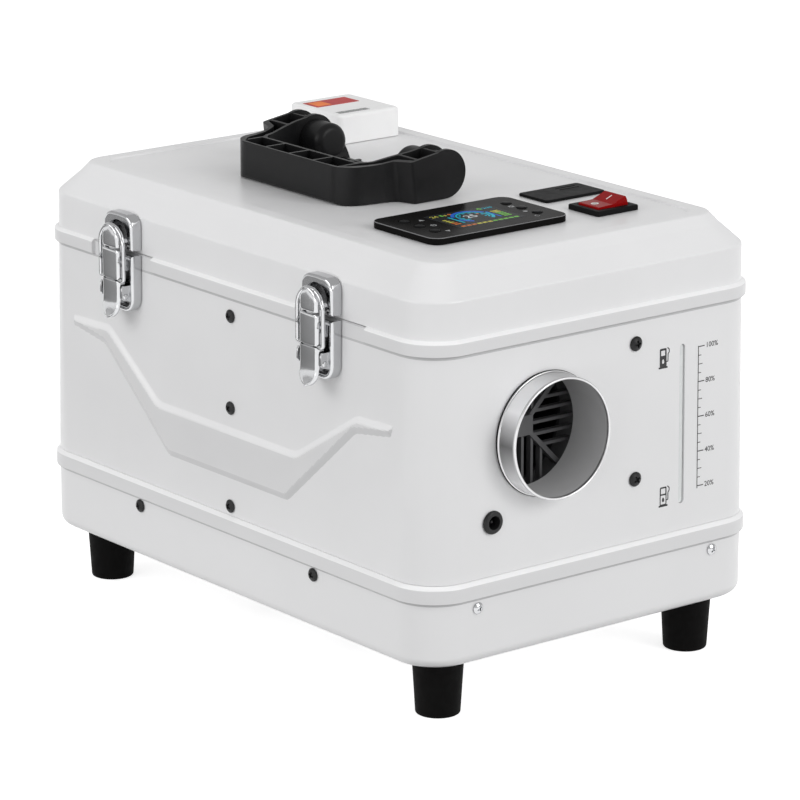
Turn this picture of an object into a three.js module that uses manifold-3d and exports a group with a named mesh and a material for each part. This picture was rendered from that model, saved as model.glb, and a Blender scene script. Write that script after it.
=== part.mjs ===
// Portable diesel air heater in a toolbox-style steel case: base tray, body shell and hinged lid,
// heater unit and fuel tank side by side inside, folding carry handle, controller and switch on the lid.
// Millimetres. +X is the hot-air outlet end, -Y the latch side, +Z up, z = 0 is the floor under the feet.
import * as THREE from "three";
import { mergeVertices } from "three/addons/utils/BufferGeometryUtils.js";
import Module from "manifold-3d";

const wasm = await Module();
wasm.setup();

// ---------------------------------------------------------------- driving dimensions
const CASE_L = 401.8; // outside length of the case at the tray, along X
const CASE_W = 263.7; // outside width, along Y
const CORNER_R = 27; // vertical corner radius
const WALL = 2; // sheet thickness as modelled
const GAP = 0.3; // clearance kept between neighbouring pieces
const Z_BOTTOM = 37; // underside of the case
const Z_BEAD1 = 77.8; // lower bead, the rolled rim of the tray
const Z_BEAD2 = 89.1;
const Z_BEAD3 = 228.2; // upper bead, the rolled rim of the body
const Z_BEAD4 = 238.3;
const Z_SEAM = 237; // body to lid
const Z_PANEL = 279; // recessed top panel of the lid
const BEAD = 2.4; // how far a bead stands proud
const DRAFT = 0.01188; // inward lean of every wall above the tray, mm per mm
const FOOT_INSET_X = 29.6;
const FOOT_INSET_Y = 32.3;
const FOOT_R_TOP = 15.9;
const FOOT_R_BOTTOM = 13.75;
const DUCT_Y = -41.3; // hot-air axis
const DUCT_Z = 170.6;
const DUCT_OD = 75; // standard warm-air hose collar
const DUCT_X = 216.6; // rim of the collar
const LATCH_X = 103; // latches at plus and minus this
const HINGE_Y = 138; // lid hinge axis
const HINGE_Z = 237.15;
const HANDLE_X = -27.5; // middle of the handle
const HANDLE_PIVOT_Y = 4;
const HANDLE_PIVOT_Z = 294.9;
const HANDLE_END_R = 15.5;
const SWITCH_X = 131;
const SWITCH_Y = 62;
const LCD = { x0: 79, x1: 143, y0: -80, y1: 26, r: 8, z0: 279.3, z1: 283.6 };
const CENTRE_X = -5.1; // moves the model so that its bounding box stands on the origin
const CENTRE_Y = 3.4;

const HL = CASE_L / 2;
const HW = CASE_W / 2;
const lean = (z) => Math.max(0, z - Z_BEAD2) * DRAFT;

// ---------------------------------------------------------------- materials
const mat = (color, roughness, metalness = 0, extra = {}) =>
  new THREE.MeshStandardMaterial({ color, roughness, metalness, ...extra });
const M = {
  white: mat(0xe9e9ea, 0.38, 0.1),
  aluminium: mat(0xb9bcc0, 0.32, 1),
  chrome: mat(0xc9cbce, 0.14, 1),
  rubber: mat(0x161617, 0.62),
  plastic: mat(0x1c1c1e, 0.5),
  gloss: mat(0x0b0b0d, 0.12),
  red: mat(0xb01217, 0.3),
  boxwhite: mat(0xf0f0ef, 0.45),
  window: mat(0xdfe4e4, 0.25, 0, { transparent: true, opacity: 0.7 }),
  tank: mat(0xe6e4da, 0.5),
  zinc: mat(0x9fa3a8, 0.4, 1),
  cast: mat(0x8d9093, 0.55, 0.9),
  board: mat(0x1f4d2c, 0.6),
  foam: mat(0x2a2a2a, 0.9),
};

// ---------------------------------------------------------------- solids
// A closed three.js geometry as a solid that can be joined and cut.
function solid(geometry, matrix) {
  const bare = geometry.index ? geometry.toNonIndexed() : geometry.clone();
  const g = new THREE.BufferGeometry().setAttribute(
    "position",
    bare.getAttribute("position").clone(),
  );
  if (matrix) g.applyMatrix4(matrix);
  const m = mergeVertices(g, 1e-4);
  const idx = m.index.array;
  const keep = [];
  for (let i = 0; i < idx.length; i += 3) {
    const [a, b, c] = [idx[i], idx[i + 1], idx[i + 2]];
    if (a !== b && b !== c && a !== c) keep.push(a, b, c);
  }
  const make = (t) =>
    new wasm.Manifold(
      new wasm.Mesh({
        numProp: 3,
        vertProperties: new Float32Array(m.attributes.position.array),
        triVerts: new Uint32Array(t),
      }),
    );
  const s = make(keep);
  if (s.volume() >= 0) return s;
  for (let i = 0; i < keep.length; i += 3)
    [keep[i + 1], keep[i + 2]] = [keep[i + 2], keep[i + 1]];
  return make(keep);
}
const join = (...parts) => parts.flat().reduce((a, b) => a.add(b));
const cut = (a, ...tools) => tools.flat().reduce((s, t) => s.subtract(t), a);

function geometryOf(s) {
  const m = s.getMesh();
  const n = m.numProp;
  const v = new Float32Array(m.numVert * 3);
  for (let i = 0; i < m.numVert; i++)
    v.set(m.vertProperties.subarray(i * n, i * n + 3), i * 3);
  const g = new THREE.BufferGeometry()
    .setAttribute("position", new THREE.BufferAttribute(v, 3))
    .setIndex(new THREE.BufferAttribute(new Uint32Array(m.triVerts), 1));
  g.computeVertexNormals();
  return g;
}

const box = (x0, x1, y0, y1, z0, z1) =>
  solid(
    new THREE.BoxGeometry(x1 - x0, y1 - y0, z1 - z0),
    new THREE.Matrix4().makeTranslation(
      (x0 + x1) / 2,
      (y0 + y1) / 2,
      (z0 + z1) / 2,
    ),
  );
// Cylinders and cones along each axis, from a to b.
function cyl(axis, a, b, p, q, ra, rb = ra, n = 24) {
  const g = new THREE.CylinderGeometry(rb, ra, b - a, n, 1);
  const m = new THREE.Matrix4();
  if (axis === "z") m.makeRotationX(Math.PI / 2);
  if (axis === "x") m.makeRotationZ(-Math.PI / 2);
  g.applyMatrix4(m);
  const mid = (a + b) / 2;
  const t =
    axis === "x" ? [mid, p, q] : axis === "y" ? [p, mid, q] : [p, q, mid];
  return solid(g, new THREE.Matrix4().makeTranslation(...t));
}
const shapeOf = (points) =>
  new THREE.Shape(points.map(([x, y]) => new THREE.Vector2(x, y)));
const PERM = {
  // local x, y, z of the extrusion to the model's axes
  z: new THREE.Matrix4(),
  x: new THREE.Matrix4().set(0, 0, 1, 0, 1, 0, 0, 0, 0, 1, 0, 0, 0, 0, 0, 1),
  y: new THREE.Matrix4().set(1, 0, 0, 0, 0, 0, -1, 0, 0, 1, 0, 0, 0, 0, 0, 1),
};
// A polygon extruded along an axis from a to b. Points are (x, y), (y, z) or (x, z).
function prism(axis, points, a, b) {
  const g = new THREE.ExtrudeGeometry(shapeOf(points), {
    depth: b - a,
    bevelEnabled: false,
  });
  g.applyMatrix4(PERM[axis]);
  const t = axis === "x" ? [a, 0, 0] : axis === "y" ? [0, b, 0] : [0, 0, a];
  return solid(g, new THREE.Matrix4().makeTranslation(...t));
}
// A profile of (radius, height) turned about the local axis through (p, q).
function turned(axis, profile, p = 0, q = 0, n = 24) {
  const g = new THREE.LatheGeometry(
    profile.map(([r, h]) => new THREE.Vector2(r, h)),
    n,
  );
  const m = new THREE.Matrix4();
  if (axis === "z") m.makeRotationX(Math.PI / 2);
  if (axis === "x") m.makeRotationZ(-Math.PI / 2);
  if (axis === "-y") m.makeRotationX(Math.PI);
  g.applyMatrix4(m);
  const t = axis === "x" ? [0, p, q] : axis === "z" ? [p, q, 0] : [p, 0, q];
  return solid(g, new THREE.Matrix4().makeTranslation(...t));
}
const arc = (cx, cy, r, a0, a1, n) =>
  Array.from({ length: n + 1 }, (_, i) => {
    const a = ((a0 + ((a1 - a0) * i) / n) * Math.PI) / 180;
    return [cx + r * Math.cos(a), cy + r * Math.sin(a)];
  });
const roundRect = (x0, x1, y0, y1, r, n = 4) => [
  ...arc(x1 - r, y1 - r, r, 0, 90, n),
  ...arc(x0 + r, y1 - r, r, 90, 180, n),
  ...arc(x0 + r, y0 + r, r, 180, 270, n),
  ...arc(x1 - r, y0 + r, r, 270, 360, n),
];
const slot = (cx, cy, w, h, n = 6) => [
  ...arc(cx, cy + h / 2 - w / 2, w / 2, 0, 180, n),
  ...arc(cx, cy - h / 2 + w / 2, w / 2, 180, 360, n),
];
// Leans a solid that is mounted on a drafted wall: dir is the wall's outward axis and sign.
const leaned = (s, dir, z0 = Z_BEAD2) =>
  s.transform(
    dir === "x"
      ? [1, 0, 0, 0, 0, 1, 0, 0, -DRAFT, 0, 1, 0, DRAFT * z0, 0, 0, 1]
      : [1, 0, 0, 0, 0, 1, 0, 0, 0, DRAFT, 1, 0, 0, -DRAFT * z0, 0, 1],
  );

// Corner radius of the case outline at an inset from its nominal side.
const cornerR = (inset) => Math.max(CORNER_R - 0.55 * Math.max(inset, 0), 8) - Math.min(inset, 0);
// Lofted rounded-rectangle block: rings of [inset, z] from bottom to top.
function loft(rings, segments = 4) {
  const r0 = CORNER_R;
  const g = new THREE.ExtrudeGeometry(
    shapeOf(roundRect(-HL, HL, -HW, HW, r0, segments)),
    { depth: rings.length - 1, steps: rings.length - 1, bevelEnabled: false },
  );
  const p = g.getAttribute("position");
  for (let i = 0; i < p.count; i++) {
    const x = p.getX(i);
    const y = p.getY(i);
    const [inset, z] = rings[Math.round(p.getZ(i))];
    const sx = Math.sign(x);
    const sy = Math.sign(y);
    const a = Math.atan2(y - sy * (HW - r0), x - sx * (HL - r0));
    const r = cornerR(inset);
    p.setXYZ(
      i,
      sx * (HL - inset - r) + r * Math.cos(a),
      sy * (HW - inset - r) + r * Math.sin(a),
      z,
    );
  }
  return solid(g);
}

// Round wire of radius r along a path of (x, z) points at constant y, mitred at its bends.
function wireXZ(path, y, r, sides = 6) {
  const ring = arc(0, 0, r, 30, 30 + 360 - 360 / sides, sides - 1);
  const n = path.length;
  const g = new THREE.ExtrudeGeometry(shapeOf(ring), {
    depth: n - 1,
    steps: n - 1,
    bevelEnabled: false,
  });
  const v = path.map(([x, z]) => new THREE.Vector2(x, z));
  const p = g.getAttribute("position");
  for (let i = 0; i < p.count; i++) {
    const k = Math.round(p.getZ(i));
    const back = v[k].clone().sub(v[Math.max(k - 1, 0)]).normalize();
    const ahead = v[Math.min(k + 1, n - 1)].clone().sub(v[k]).normalize();
    const dir = back.clone().add(ahead).normalize();
    const stretch = 1 / Math.max(dir.dot(k ? back : ahead), 0.5);
    const u = p.getX(i) * stretch;
    const w = p.getY(i);
    p.setXYZ(i, v[k].x + u * dir.y, y + w, v[k].y - u * dir.x);
  }
  return solid(g);
}

// ---------------------------------------------------------------- scene graph
const root = new THREE.Group();
const model = new THREE.Group();
model.position.set(CENTRE_X, CENTRE_Y, 0);
root.add(model);
const group = (parent, x = 0, y = 0, z = 0) => {
  const g = new THREE.Group();
  g.position.set(x, y, z);
  parent.add(g);
  return g;
};
function add(parent, name, s, material, x = 0, y = 0, z = 0) {
  const mesh = new THREE.Mesh(
    s.isBufferGeometry ? s : geometryOf(s),
    material,
  );
  mesh.name = name;
  mesh.position.set(x, y, z);
  parent.add(mesh);
  return mesh;
}

const caseGroup = group(model);
const lidGroup = group(model);
const unitGroup = group(model);

// ---------------------------------------------------------------- base tray
const EXHAUST = { x: 40, y: -60 };
const INTAKE = { x: -52, y: -60 };
const frontScrews = [
  [6.5, 217],
  [6.5, 158.7],
  [6.5, 95.7],
];
const trayScrews = [
  [-91, 72.5],
  [91, 72.5],
];
const endScrews = [
  [29.6, 213.6],
  [29.6, 128.9],
];
const endTrayScrews = [
  [-93.3, 72],
  [93.3, 72],
];
{
  const r = 12;
  const outer = [];
  for (let k = 0; k <= 4; k++) {
    const a = (k * Math.PI) / 8;
    outer.push([r * (1 - Math.sin(a)), Z_BOTTOM + r * (1 - Math.cos(a))]);
  }
  outer.push(
    [0, Z_BEAD1],
    [-1.7, Z_BEAD1 + 0.3],
    [-BEAD, Z_BEAD1 + 1.6],
    [-BEAD, Z_BEAD2 - 2.4],
    [-1.7, Z_BEAD2 - 0.7],
    [-0.3, Z_BEAD2],
  );
  const inner = [];
  for (let k = 0; k <= 3; k++) {
    const a = (k * Math.PI) / 6;
    inner.push([
      2.2 + 9.8 * (1 - Math.sin(a)),
      Z_BOTTOM + 2.2 + 9.8 * (1 - Math.cos(a)),
    ]);
  }
  inner.push([2.2, Z_BEAD2 + 1]);
  let tray = cut(loft(outer), loft(inner));
  tray = cut(
    tray,
    cyl("z", 30, 45, EXHAUST.x, EXHAUST.y, 13.5),
    cyl("z", 30, 45, INTAKE.x, INTAKE.y, 13.5),
    trayScrews.map(([x, z]) => cyl("y", -140, -125, x, z, 2.4, 2.4, 8)),
    endTrayScrews.map(([y, z]) => cyl("x", 190, 210, y, z, 2.4, 2.4, 8)),
    [-1, 1].map((s) =>
      [-1, 1].map((t) =>
        cyl("z", 30, 45, s * (HL - FOOT_INSET_X), t * (HW - FOOT_INSET_Y), 3.3, 3.3, 12),
      ),
    ).flat(),
  );
  add(caseGroup, "base_tray", tray, M.white);
}

// ---------------------------------------------------------------- feet
{
  // Tapered rubber foot with a counterbored screw hole and a locating stud into the tray.
  const foot = turned(
    "z",
    [
      [4.6, 0],
      [FOOT_R_BOTTOM - 1.4, 0],
      [FOOT_R_BOTTOM - 0.4, 0.4],
      [FOOT_R_BOTTOM, 1.6],
      [FOOT_R_TOP, Z_BOTTOM - GAP - 0.8],
      [FOOT_R_TOP - 0.8, Z_BOTTOM - GAP],
      [3, Z_BOTTOM - GAP],
      [3, Z_BOTTOM + 2],
      [0, Z_BOTTOM + 2],
      [0, 26],
      [4.6, 26],
      [4.6, 0],
    ],
    0,
    0,
    16,
  );
  const fx = HL - FOOT_INSET_X;
  const fy = HW - FOOT_INSET_Y;
  const g = geometryOf(foot);
  add(caseGroup, "foot_front_right", g, M.rubber, fx, -fy);
  add(caseGroup, "foot_rear_right", g, M.rubber, fx, fy);
  add(caseGroup, "foot_front_left", g, M.rubber, -fx, -fy);
  add(caseGroup, "foot_rear_left", g, M.rubber, -fx, fy);
}

// ---------------------------------------------------------------- body shell
const LEVEL = { y: 67.55, w: 4.5, z0: 106.3, z1: 207.1 };
const JACK = { y: -82.4, z: 123 };
const INLET = { y: DUCT_Y, z: DUCT_Z };
{
  const w = (z, extra = 0) => [lean(z) + extra, z];
  const outer = [
    [2.5, 64],
    [2.5, Z_BEAD2 + GAP],
    [0, Z_BEAD2 + GAP],
    w(Z_BEAD3),
    [lean(Z_BEAD3) - 1.7, Z_BEAD3 + 0.3],
    [lean(Z_BEAD3) - BEAD, Z_BEAD3 + 1.6],
    [lean(Z_BEAD3) - BEAD, Z_BEAD4 - 2.2],
    [lean(Z_BEAD3) - 1.7, Z_BEAD4 - 0.6],
    [lean(Z_BEAD3) - 0.4, Z_BEAD4],
    [lean(Z_SEAM) - GAP, Z_BEAD4],
    [lean(Z_SEAM) - GAP + 0.01, Z_SEAM],
    [lean(Z_SEAM) + 6, Z_SEAM],
  ];
  const inner = [
    [4.5, 63],
    [4.5, 88.5],
    [WALL, 91.5],
    w(234.9, WALL),
    w(235, 6.8),
    [lean(Z_SEAM) + 6.8, Z_SEAM + 1],
  ];
  let body = cut(loft(outer), loft(inner));
  // Raised relief on the front wall.
  const relief = [
    [-164, 184], [-164.5, 177], [-129, 171.6], [-59.3, 113.6], [65.2, 113.3],
    [132, 170.8], [165, 175.9], [167.7, 183.8], [133, 182.6], [73, 146.6],
    [-69, 147], [-123, 185.5],
  ];
  body = join(body, leaned(prism("y", relief, -HW - 2, -HW + 1), "y"));
  // The upper bead stops short of each latch and of the rear hinge.
  const wallY = -HW + lean(233);
  body = cut(
    body,
    box(-140, -75.6, -HW - 6, wallY, Z_BEAD3 - 1, Z_BEAD4 + 1),
    box(74, 141.6, -HW - 6, wallY, Z_BEAD3 - 1, Z_BEAD4 + 1),
    box(-126, 126, -wallY, HW + 6, Z_BEAD3 - 1, Z_BEAD4 + 1),
    cyl("x", 190, 210, DUCT_Y, DUCT_Z, 38, 38, 32),
    cyl("x", -210, -190, INLET.y, INLET.z, 50, 50, 24),
    prism("x", slot(LEVEL.y, (LEVEL.z0 + LEVEL.z1) / 2, LEVEL.w, LEVEL.z1 - LEVEL.z0), 190, 210),
    cyl("x", 190, 210, JACK.y, JACK.z, 6.5, 6.5, 16),
    frontScrews.map(([x, z]) => cyl("y", -140, -120, x, z, 2.4, 2.4, 8)),
    endScrews.map(([y, z]) => cyl("x", 190, 210, y, z, 2.4, 2.4, 8)),
    trayScrews.map(([x, z]) => cyl("y", -140, -120, x, z, 2.4, 2.4, 8)),
    endTrayScrews.map(([y, z]) => cyl("x", 190, 210, y, z, 2.4, 2.4, 8)),
  );
  add(caseGroup, "case_body", body, M.white);
}

// ---------------------------------------------------------------- screws
{
  // Button-head screw along local +Y of the head: turned about Y, head outwards at +h.
  const screw = (r, h, shank) => [
    [0, -shank],
    [2, -shank],
    [2, 0.35],
    [r, 0.35],
    [r, 0.35 + h * 0.3],
    [r * 0.7, 0.35 + h * 0.85],
    [0, 0.35 + h],
  ];
  const front = geometryOf(turned("-y", screw(4.2, 2.4, 6.5), 0, 0, 10));
  const end = geometryOf(turned("x", screw(4.6, 2.6, 5.2), 0, 0, 10));
  const small = geometryOf(turned("x", screw(3.6, 1.8, 5), 0, 0, 10));
  const yAt = (z) => -HW + lean(z);
  const xAt = (z) => HL - lean(z);
  frontScrews.forEach(([x, z], i) =>
    add(caseGroup, "front_screw_" + (i + 1), front, M.rubber, x, yAt(z), z),
  );
  trayScrews.forEach(([x, z], i) =>
    add(caseGroup, "tray_screw_" + (i + 1), front, M.rubber, x, -HW, z),
  );
  endScrews.forEach(([y, z], i) =>
    add(caseGroup, "end_screw_" + (i + 1), end, M.rubber, xAt(z), y, z),
  );
  endTrayScrews.forEach(([y, z], i) =>
    add(caseGroup, "end_tray_screw_" + (i + 1), small, M.white, HL, y, z),
  );
}

// ---------------------------------------------------------------- outlet collar, inlet grille, jack, level window
{
  const R = DUCT_OD / 2;
  const collar = turned(
    "x",
    [
      [R - 1.6, 183.2],
      [R, 183.2],
      [R, 195.2],
      [46, 195.2],
      [46, 196.8],
      [R, 196.8],
      [R, 200.9],
      [R + 1.6, 200.9],
      [R + 1.6, 202.4],
      [R, 203],
      [R, DUCT_X],
      [R - 1.6, DUCT_X],
      [R - 1.6, 183.2],
    ],
    DUCT_Y,
    DUCT_Z,
    32,
  );
  add(caseGroup, "outlet_collar", collar, M.aluminium);

  // Outlet grille of the heater unit, seen deep inside the collar: ring, hub, four diagonal arms, slats.
  const x0 = 174;
  const x1 = 180;
  const parts = [
    cut(
      cyl("x", 166.5, 182.6, 0, 0, 43, 43, 24),
      cyl("x", 166, 183, 0, 0, 40, 40, 24),
    ),
    box(x0, x1 + 1, -6, 6, -6, 6),
  ];
  for (const s of [1, -1])
    parts.push(
      solid(
        new THREE.BoxGeometry(x1 - x0, 82, 3),
        new THREE.Matrix4()
          .makeRotationX((s * Math.PI) / 4)
          .setPosition((x0 + x1) / 2, 0, 0),
      ),
    );
  // slats: upright above and below the hub, level to its left and right, each running out from an arm
  for (const t of [-14.6, -7.3, 0, 7.3, 14.6]) {
    const n = Math.abs(t);
    parts.push(
      box(x0 + 1, x1 - 1, t - 0.9, t + 0.9, n, 41),
      box(x0 + 1, x1 - 1, t - 0.9, t + 0.9, -41, -n),
      box(x0 + 1, x1 - 1, n, 41, t - 0.9, t + 0.9),
      box(x0 + 1, x1 - 1, -41, -n, t - 0.9, t + 0.9),
    );
  }
  let grille = join(parts);
  grille = grille.intersect(cyl("x", 160, 200, 0, 0, 43, 43, 24));
  add(unitGroup, "outlet_grille", grille, M.plastic, 0, DUCT_Y, DUCT_Z);

  // Cold-air inlet grille on the far end.
  const g = [
    cut(
      join(cyl("x", -206.2, -201.1, 0, 0, 56, 56, 24), cyl("x", -201.4, -196, 0, 0, 49.4, 49.4, 24)),
      cyl("x", -207, -195, 0, 0, 47, 47, 24),
    ),
    cyl("x", -205, -202, 0, 0, 10, 10, 12),
  ];
  for (const [ro, ri] of [[30, 27.5]])
    g.push(cut(cyl("x", -204.6, -202.2, 0, 0, ro, ro, 18), cyl("x", -207, -195, 0, 0, ri, ri, 18)));
  for (let k = 0; k < 3; k++)
    g.push(
      solid(
        new THREE.BoxGeometry(2.4, 97, 3),
        new THREE.Matrix4().makeRotationX((k * Math.PI) / 3).setPosition(-203.4, 0, 0),
      ),
    );
  add(caseGroup, "air_inlet_grille", join(g), M.plastic, 0, INLET.y, INLET.z);

  const jack = join(
    cut(
      turned(
        "x",
        [
          [0, 186], [6.2, 186], [6.2, 200.8], [7.2, 200.8], [7.2, 202.4],
          [6.4, 203], [0, 203],
        ],
        JACK.y,
        JACK.z,
        20,
      ),
      cyl("x", 192, 204, JACK.y, JACK.z, 4.2, 4.2, 16),
    ),
    cyl("x", 191, 200.6, JACK.y, JACK.z, 1.1, 1.1, 8),
  );
  add(caseGroup, "dc_jack", jack, M.plastic);

  const zm = (LEVEL.z0 + LEVEL.z1) / 2;
  const window_ = leaned(
    join(
      prism("x", roundRect(LEVEL.y - 6.5, LEVEL.y + 6.5, LEVEL.z0 - 5, LEVEL.z1 + 5, 3, 2), 195.4, 198.5),
      prism("x", slot(LEVEL.y, zm, LEVEL.w - 0.7, LEVEL.z1 - LEVEL.z0 - 0.7), 198, 200.1),
    ),
    "x",
  );
  add(caseGroup, "level_window", window_, M.window);
}

// ---------------------------------------------------------------- chassis, divider, tank
const Z_CHASSIS = 88.5; // top of the chassis plate
{
  const plate = join(
    prism("z", roundRect(-192, 192, -123, 123, 20, 3), Z_CHASSIS - 2, Z_CHASSIS),
    box(-150, 150, -118, -116, 39.6, Z_CHASSIS - 1),
    box(-150, 150, 116, 118, 39.6, Z_CHASSIS - 1),
    leaned(box(-6, 19, -128.9, -127.4, 92.2, 226), "y"),
    box(-6, 19, -128.9, -125.4, 92.2, 93.7),
    box(-6, 19, -126.9, -125.4, Z_CHASSIS - 2, 93),
    box(-6, 19, -126.9, -120, Z_CHASSIS - 2, Z_CHASSIS),
  );
  add(
    unitGroup,
    "chassis",
    cut(
      plate,
      cyl("z", 80, 95, EXHAUST.x, EXHAUST.y, 13.5),
      cyl("z", 80, 95, INTAKE.x, INTAKE.y, 13.5),
      frontScrews.map(([x, z]) => cyl("y", -140, -120, x, z, 2.4, 2.4, 8)),
    ),
    M.zinc,
  );

  const divider = join(
    box(-190, 195.2, 29, 30.6, Z_CHASSIS + GAP, 224),
    leaned(box(195.6, 197.1, 20, 39.2, 92.5, 224), "x"),
    box(193.6, 196, 29, 30.6, 92.5, 224),
    box(-190, 190, 22, 30.6, Z_CHASSIS + GAP, Z_CHASSIS + 1.8),
  );
  add(
    unitGroup,
    "divider_plate",
    cut(divider, endScrews.map(([y, z]) => cyl("x", 190, 210, y, z, 2.4, 2.4, 8))),
    M.zinc,
  );
}
const TANK = { x0: -172, x1: 188, y0: 41, y1: 123, z0: 89.2, z1: 217 };
const NECK = { x: -60, y: 84 };
{
  const t = TANK;
  const shell = (d) =>
    prism("z", roundRect(t.x0 + d, t.x1 - d, t.y0 + d, t.y1 - d, 14 - d, 3), t.z0 + d, t.z1 - d);
  const tank = cut(
    join(shell(0), cyl("z", t.z1 - 1, 226, NECK.x, NECK.y, 22, 22, 20)),
    shell(3),
    cyl("z", t.z1 - 6, 230, NECK.x, NECK.y, 18.5, 18.5, 20),
  );
  add(unitGroup, "fuel_tank", tank, M.tank);
  const knurl = [];
  for (let k = 0; k < 8; k++) {
    const a = (k * Math.PI) / 4;
    knurl.push(cyl("z", 225.8, 236, NECK.x + 27.6 * Math.cos(a), NECK.y + 27.6 * Math.sin(a), 2.6, 2.6, 6));
  }
  const cap = cut(
    turned(
      "z",
      [
        [22.5, 219.4], [26.4, 219.4], [26.4, 234], [24.6, 235.6], [0, 235.6],
        [0, 220.5], [17.8, 220.5], [17.8, 226.4], [22.5, 226.4], [22.5, 219.4],
      ],
      NECK.x,
      NECK.y,
      20,
    ),
    knurl,
  );
  add(unitGroup, "tank_cap", cap, M.plastic);
}

// ---------------------------------------------------------------- heater unit
{
  const y0 = -98;
  const y1 = 15.4;
  const zt = 229;
  const zb = 108;
  const zs = DUCT_Z;
  // Two half shells of a ducted casing, open at the fan end and round at the outlet end.
  const outer = prism("x", roundRect(y0, y1, zb, zt, 26, 4), -172, 166);
  const inner = cut(
    prism("x", roundRect(y0 + 2.5, y1 - 2.5, zb + 2.5, zt - 2.5, 23.5, 4), -180, 163.5),
  );
  const hole = cyl("x", 160, 170, DUCT_Y, DUCT_Z, 40.5, 40.5, 32);
  const shellAll = cut(outer, inner, hole);
  const ports = [EXHAUST, INTAKE].map((p) => cyl("z", 100, 115, p.x, p.y, 13.5));
  const feet = [
    [-140, -80], [-140, 0], [130, -80], [130, 0],
  ].map(([x, y]) => box(x - 8, x + 8, y - 8, y + 8, Z_CHASSIS + GAP, zb + 1));
  const lower = join(
    cut(shellAll, box(-200, 200, -150, 60, zs - 0.15, 260), ports),
    feet,
  );
  const upper = cut(shellAll, box(-200, 200, -150, 60, 60, zs + 0.15));
  add(unitGroup, "heater_shell_lower", lower, M.plastic);
  add(unitGroup, "heater_shell_upper", upper, M.plastic);

  // Heat exchanger: a capped core with lengthwise fins, burner flange at the fan end.
  const star = [];
  const fins = 12;
  for (let k = 0; k < fins; k++) {
    const a = (k * 360) / fins;
    star.push(...arc(0, 0, 34, a + 5, a + 360 / fins - 5, 1));
    const b = a + 360 / fins;
    star.push(...[[50, -1.4], [50, 1.4]].map(([r, o]) => {
      const c = (b * Math.PI) / 180;
      return [r * Math.cos(c) - o * Math.sin(c), r * Math.sin(c) + o * Math.cos(c)];
    }));
  }
  const exchanger = join(
    prism("x", star, -34, 138).translate([0, DUCT_Y, DUCT_Z]),
    turned("x", [[0, 137], [33, 137], [26, 148], [0, 152]], DUCT_Y, DUCT_Z, 16),
    cyl("x", -42, -34, DUCT_Y, DUCT_Z, 50, 50, 20),
    cyl("z", 104.6, DUCT_Z - 20, EXHAUST.x, EXHAUST.y, 12.5, 12.5, 12),
  );
  add(
    unitGroup,
    "heat_exchanger",
    cut(exchanger, cyl("z", 100, DUCT_Z - 30, EXHAUST.x, EXHAUST.y, 10.5, 10.5, 12)),
    M.cast,
  );

  const motor = cut(
    join(
      cyl("x", -112, -72, DUCT_Y, DUCT_Z, 30, 30, 18),
      cyl("x", -72, -69, DUCT_Y, DUCT_Z, 50, 50, 20),
      cyl("x", -116, -112, DUCT_Y, DUCT_Z, 10, 10, 16),
      cut(cyl("x", -69.5, -42.4, DUCT_Y, DUCT_Z, 50, 50, 20), cyl("x", -70, -42, DUCT_Y, DUCT_Z, 46, 46, 20)),
    ),
    cyl("x", -120, -60, DUCT_Y, DUCT_Z, 4.7, 4.7, 12),
    cyl("z", 100, 135, INTAKE.x, INTAKE.y, 10, 10, 16),
  );
  add(unitGroup, "blower_motor", motor, M.cast);

  // Rotor: shaft with the combustion-air wheel at one end, hot-air fan at the other.
  const wheel = [
    cyl("x", -150, -46, 0, 0, 4, 4, 12),
    cyl("x", -64, -61, 0, 0, 40, 40, 20),
    cyl("x", -62, -50, 0, 0, 12, 12, 16),
  ];
  for (let k = 0; k < 8; k++)
    wheel.push(
      solid(
        new THREE.BoxGeometry(11, 1.7, 30),
        new THREE.Matrix4()
          .makeRotationX((k * Math.PI) / 4)
          .multiply(new THREE.Matrix4().makeTranslation(-56.2, 0, 22.7)),
      ),
    );
  add(unitGroup, "combustion_wheel", join(wheel), M.cast, 0, DUCT_Y, DUCT_Z);
  const fan = [cut(cyl("x", -148, -124, 0, 0, 19, 19, 20), cyl("x", -149, -120, 0, 0, 4.35, 4.35, 12))];
  for (let k = 0; k < 7; k++)
    fan.push(
      solid(
        new THREE.BoxGeometry(22, 2.2, 30),
        new THREE.Matrix4()
          .makeRotationX((k * 2 * Math.PI) / 7)
          .multiply(new THREE.Matrix4().makeTranslation(-136, 0, 33))
          .multiply(new THREE.Matrix4().makeRotationZ(0.7)),
      ),
    );
  add(unitGroup, "hot_air_fan", join(fan), M.plastic, 0, DUCT_Y, DUCT_Z);

  add(
    unitGroup,
    "control_board",
    join(box(-112, -48, -82, -6, 221.4, 223), box(-106, -84, -70, -44, 213, 222), box(-106, -84, -36, -12, 211, 222)),
    M.board,
  );
  const stub = (p, top) =>
    turned(
      "z",
      [[10.6, 18], [12, 18], [12, top], [10.6, top], [10.6, 18]],
      p.x,
      p.y,
      16,
    );
  add(unitGroup, "exhaust_pipe", stub(EXHAUST, 104.2), M.zinc);
  add(unitGroup, "intake_pipe", stub(INTAKE, 104.2), M.plastic);

  // Metering pump lying in the tray in its saddle.
  const pump = join(
    cyl("x", -30, 40, 66, 62, 13, 13, 20),
    cyl("x", -46, -30, 66, 62, 5, 5, 12),
    cyl("x", 40, 58, 66, 62, 6.5, 6.5, 12),
    box(-12, 22, 58, 74, 39.6, 56),
  );
  add(unitGroup, "fuel_pump", pump, M.zinc);
}

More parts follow.
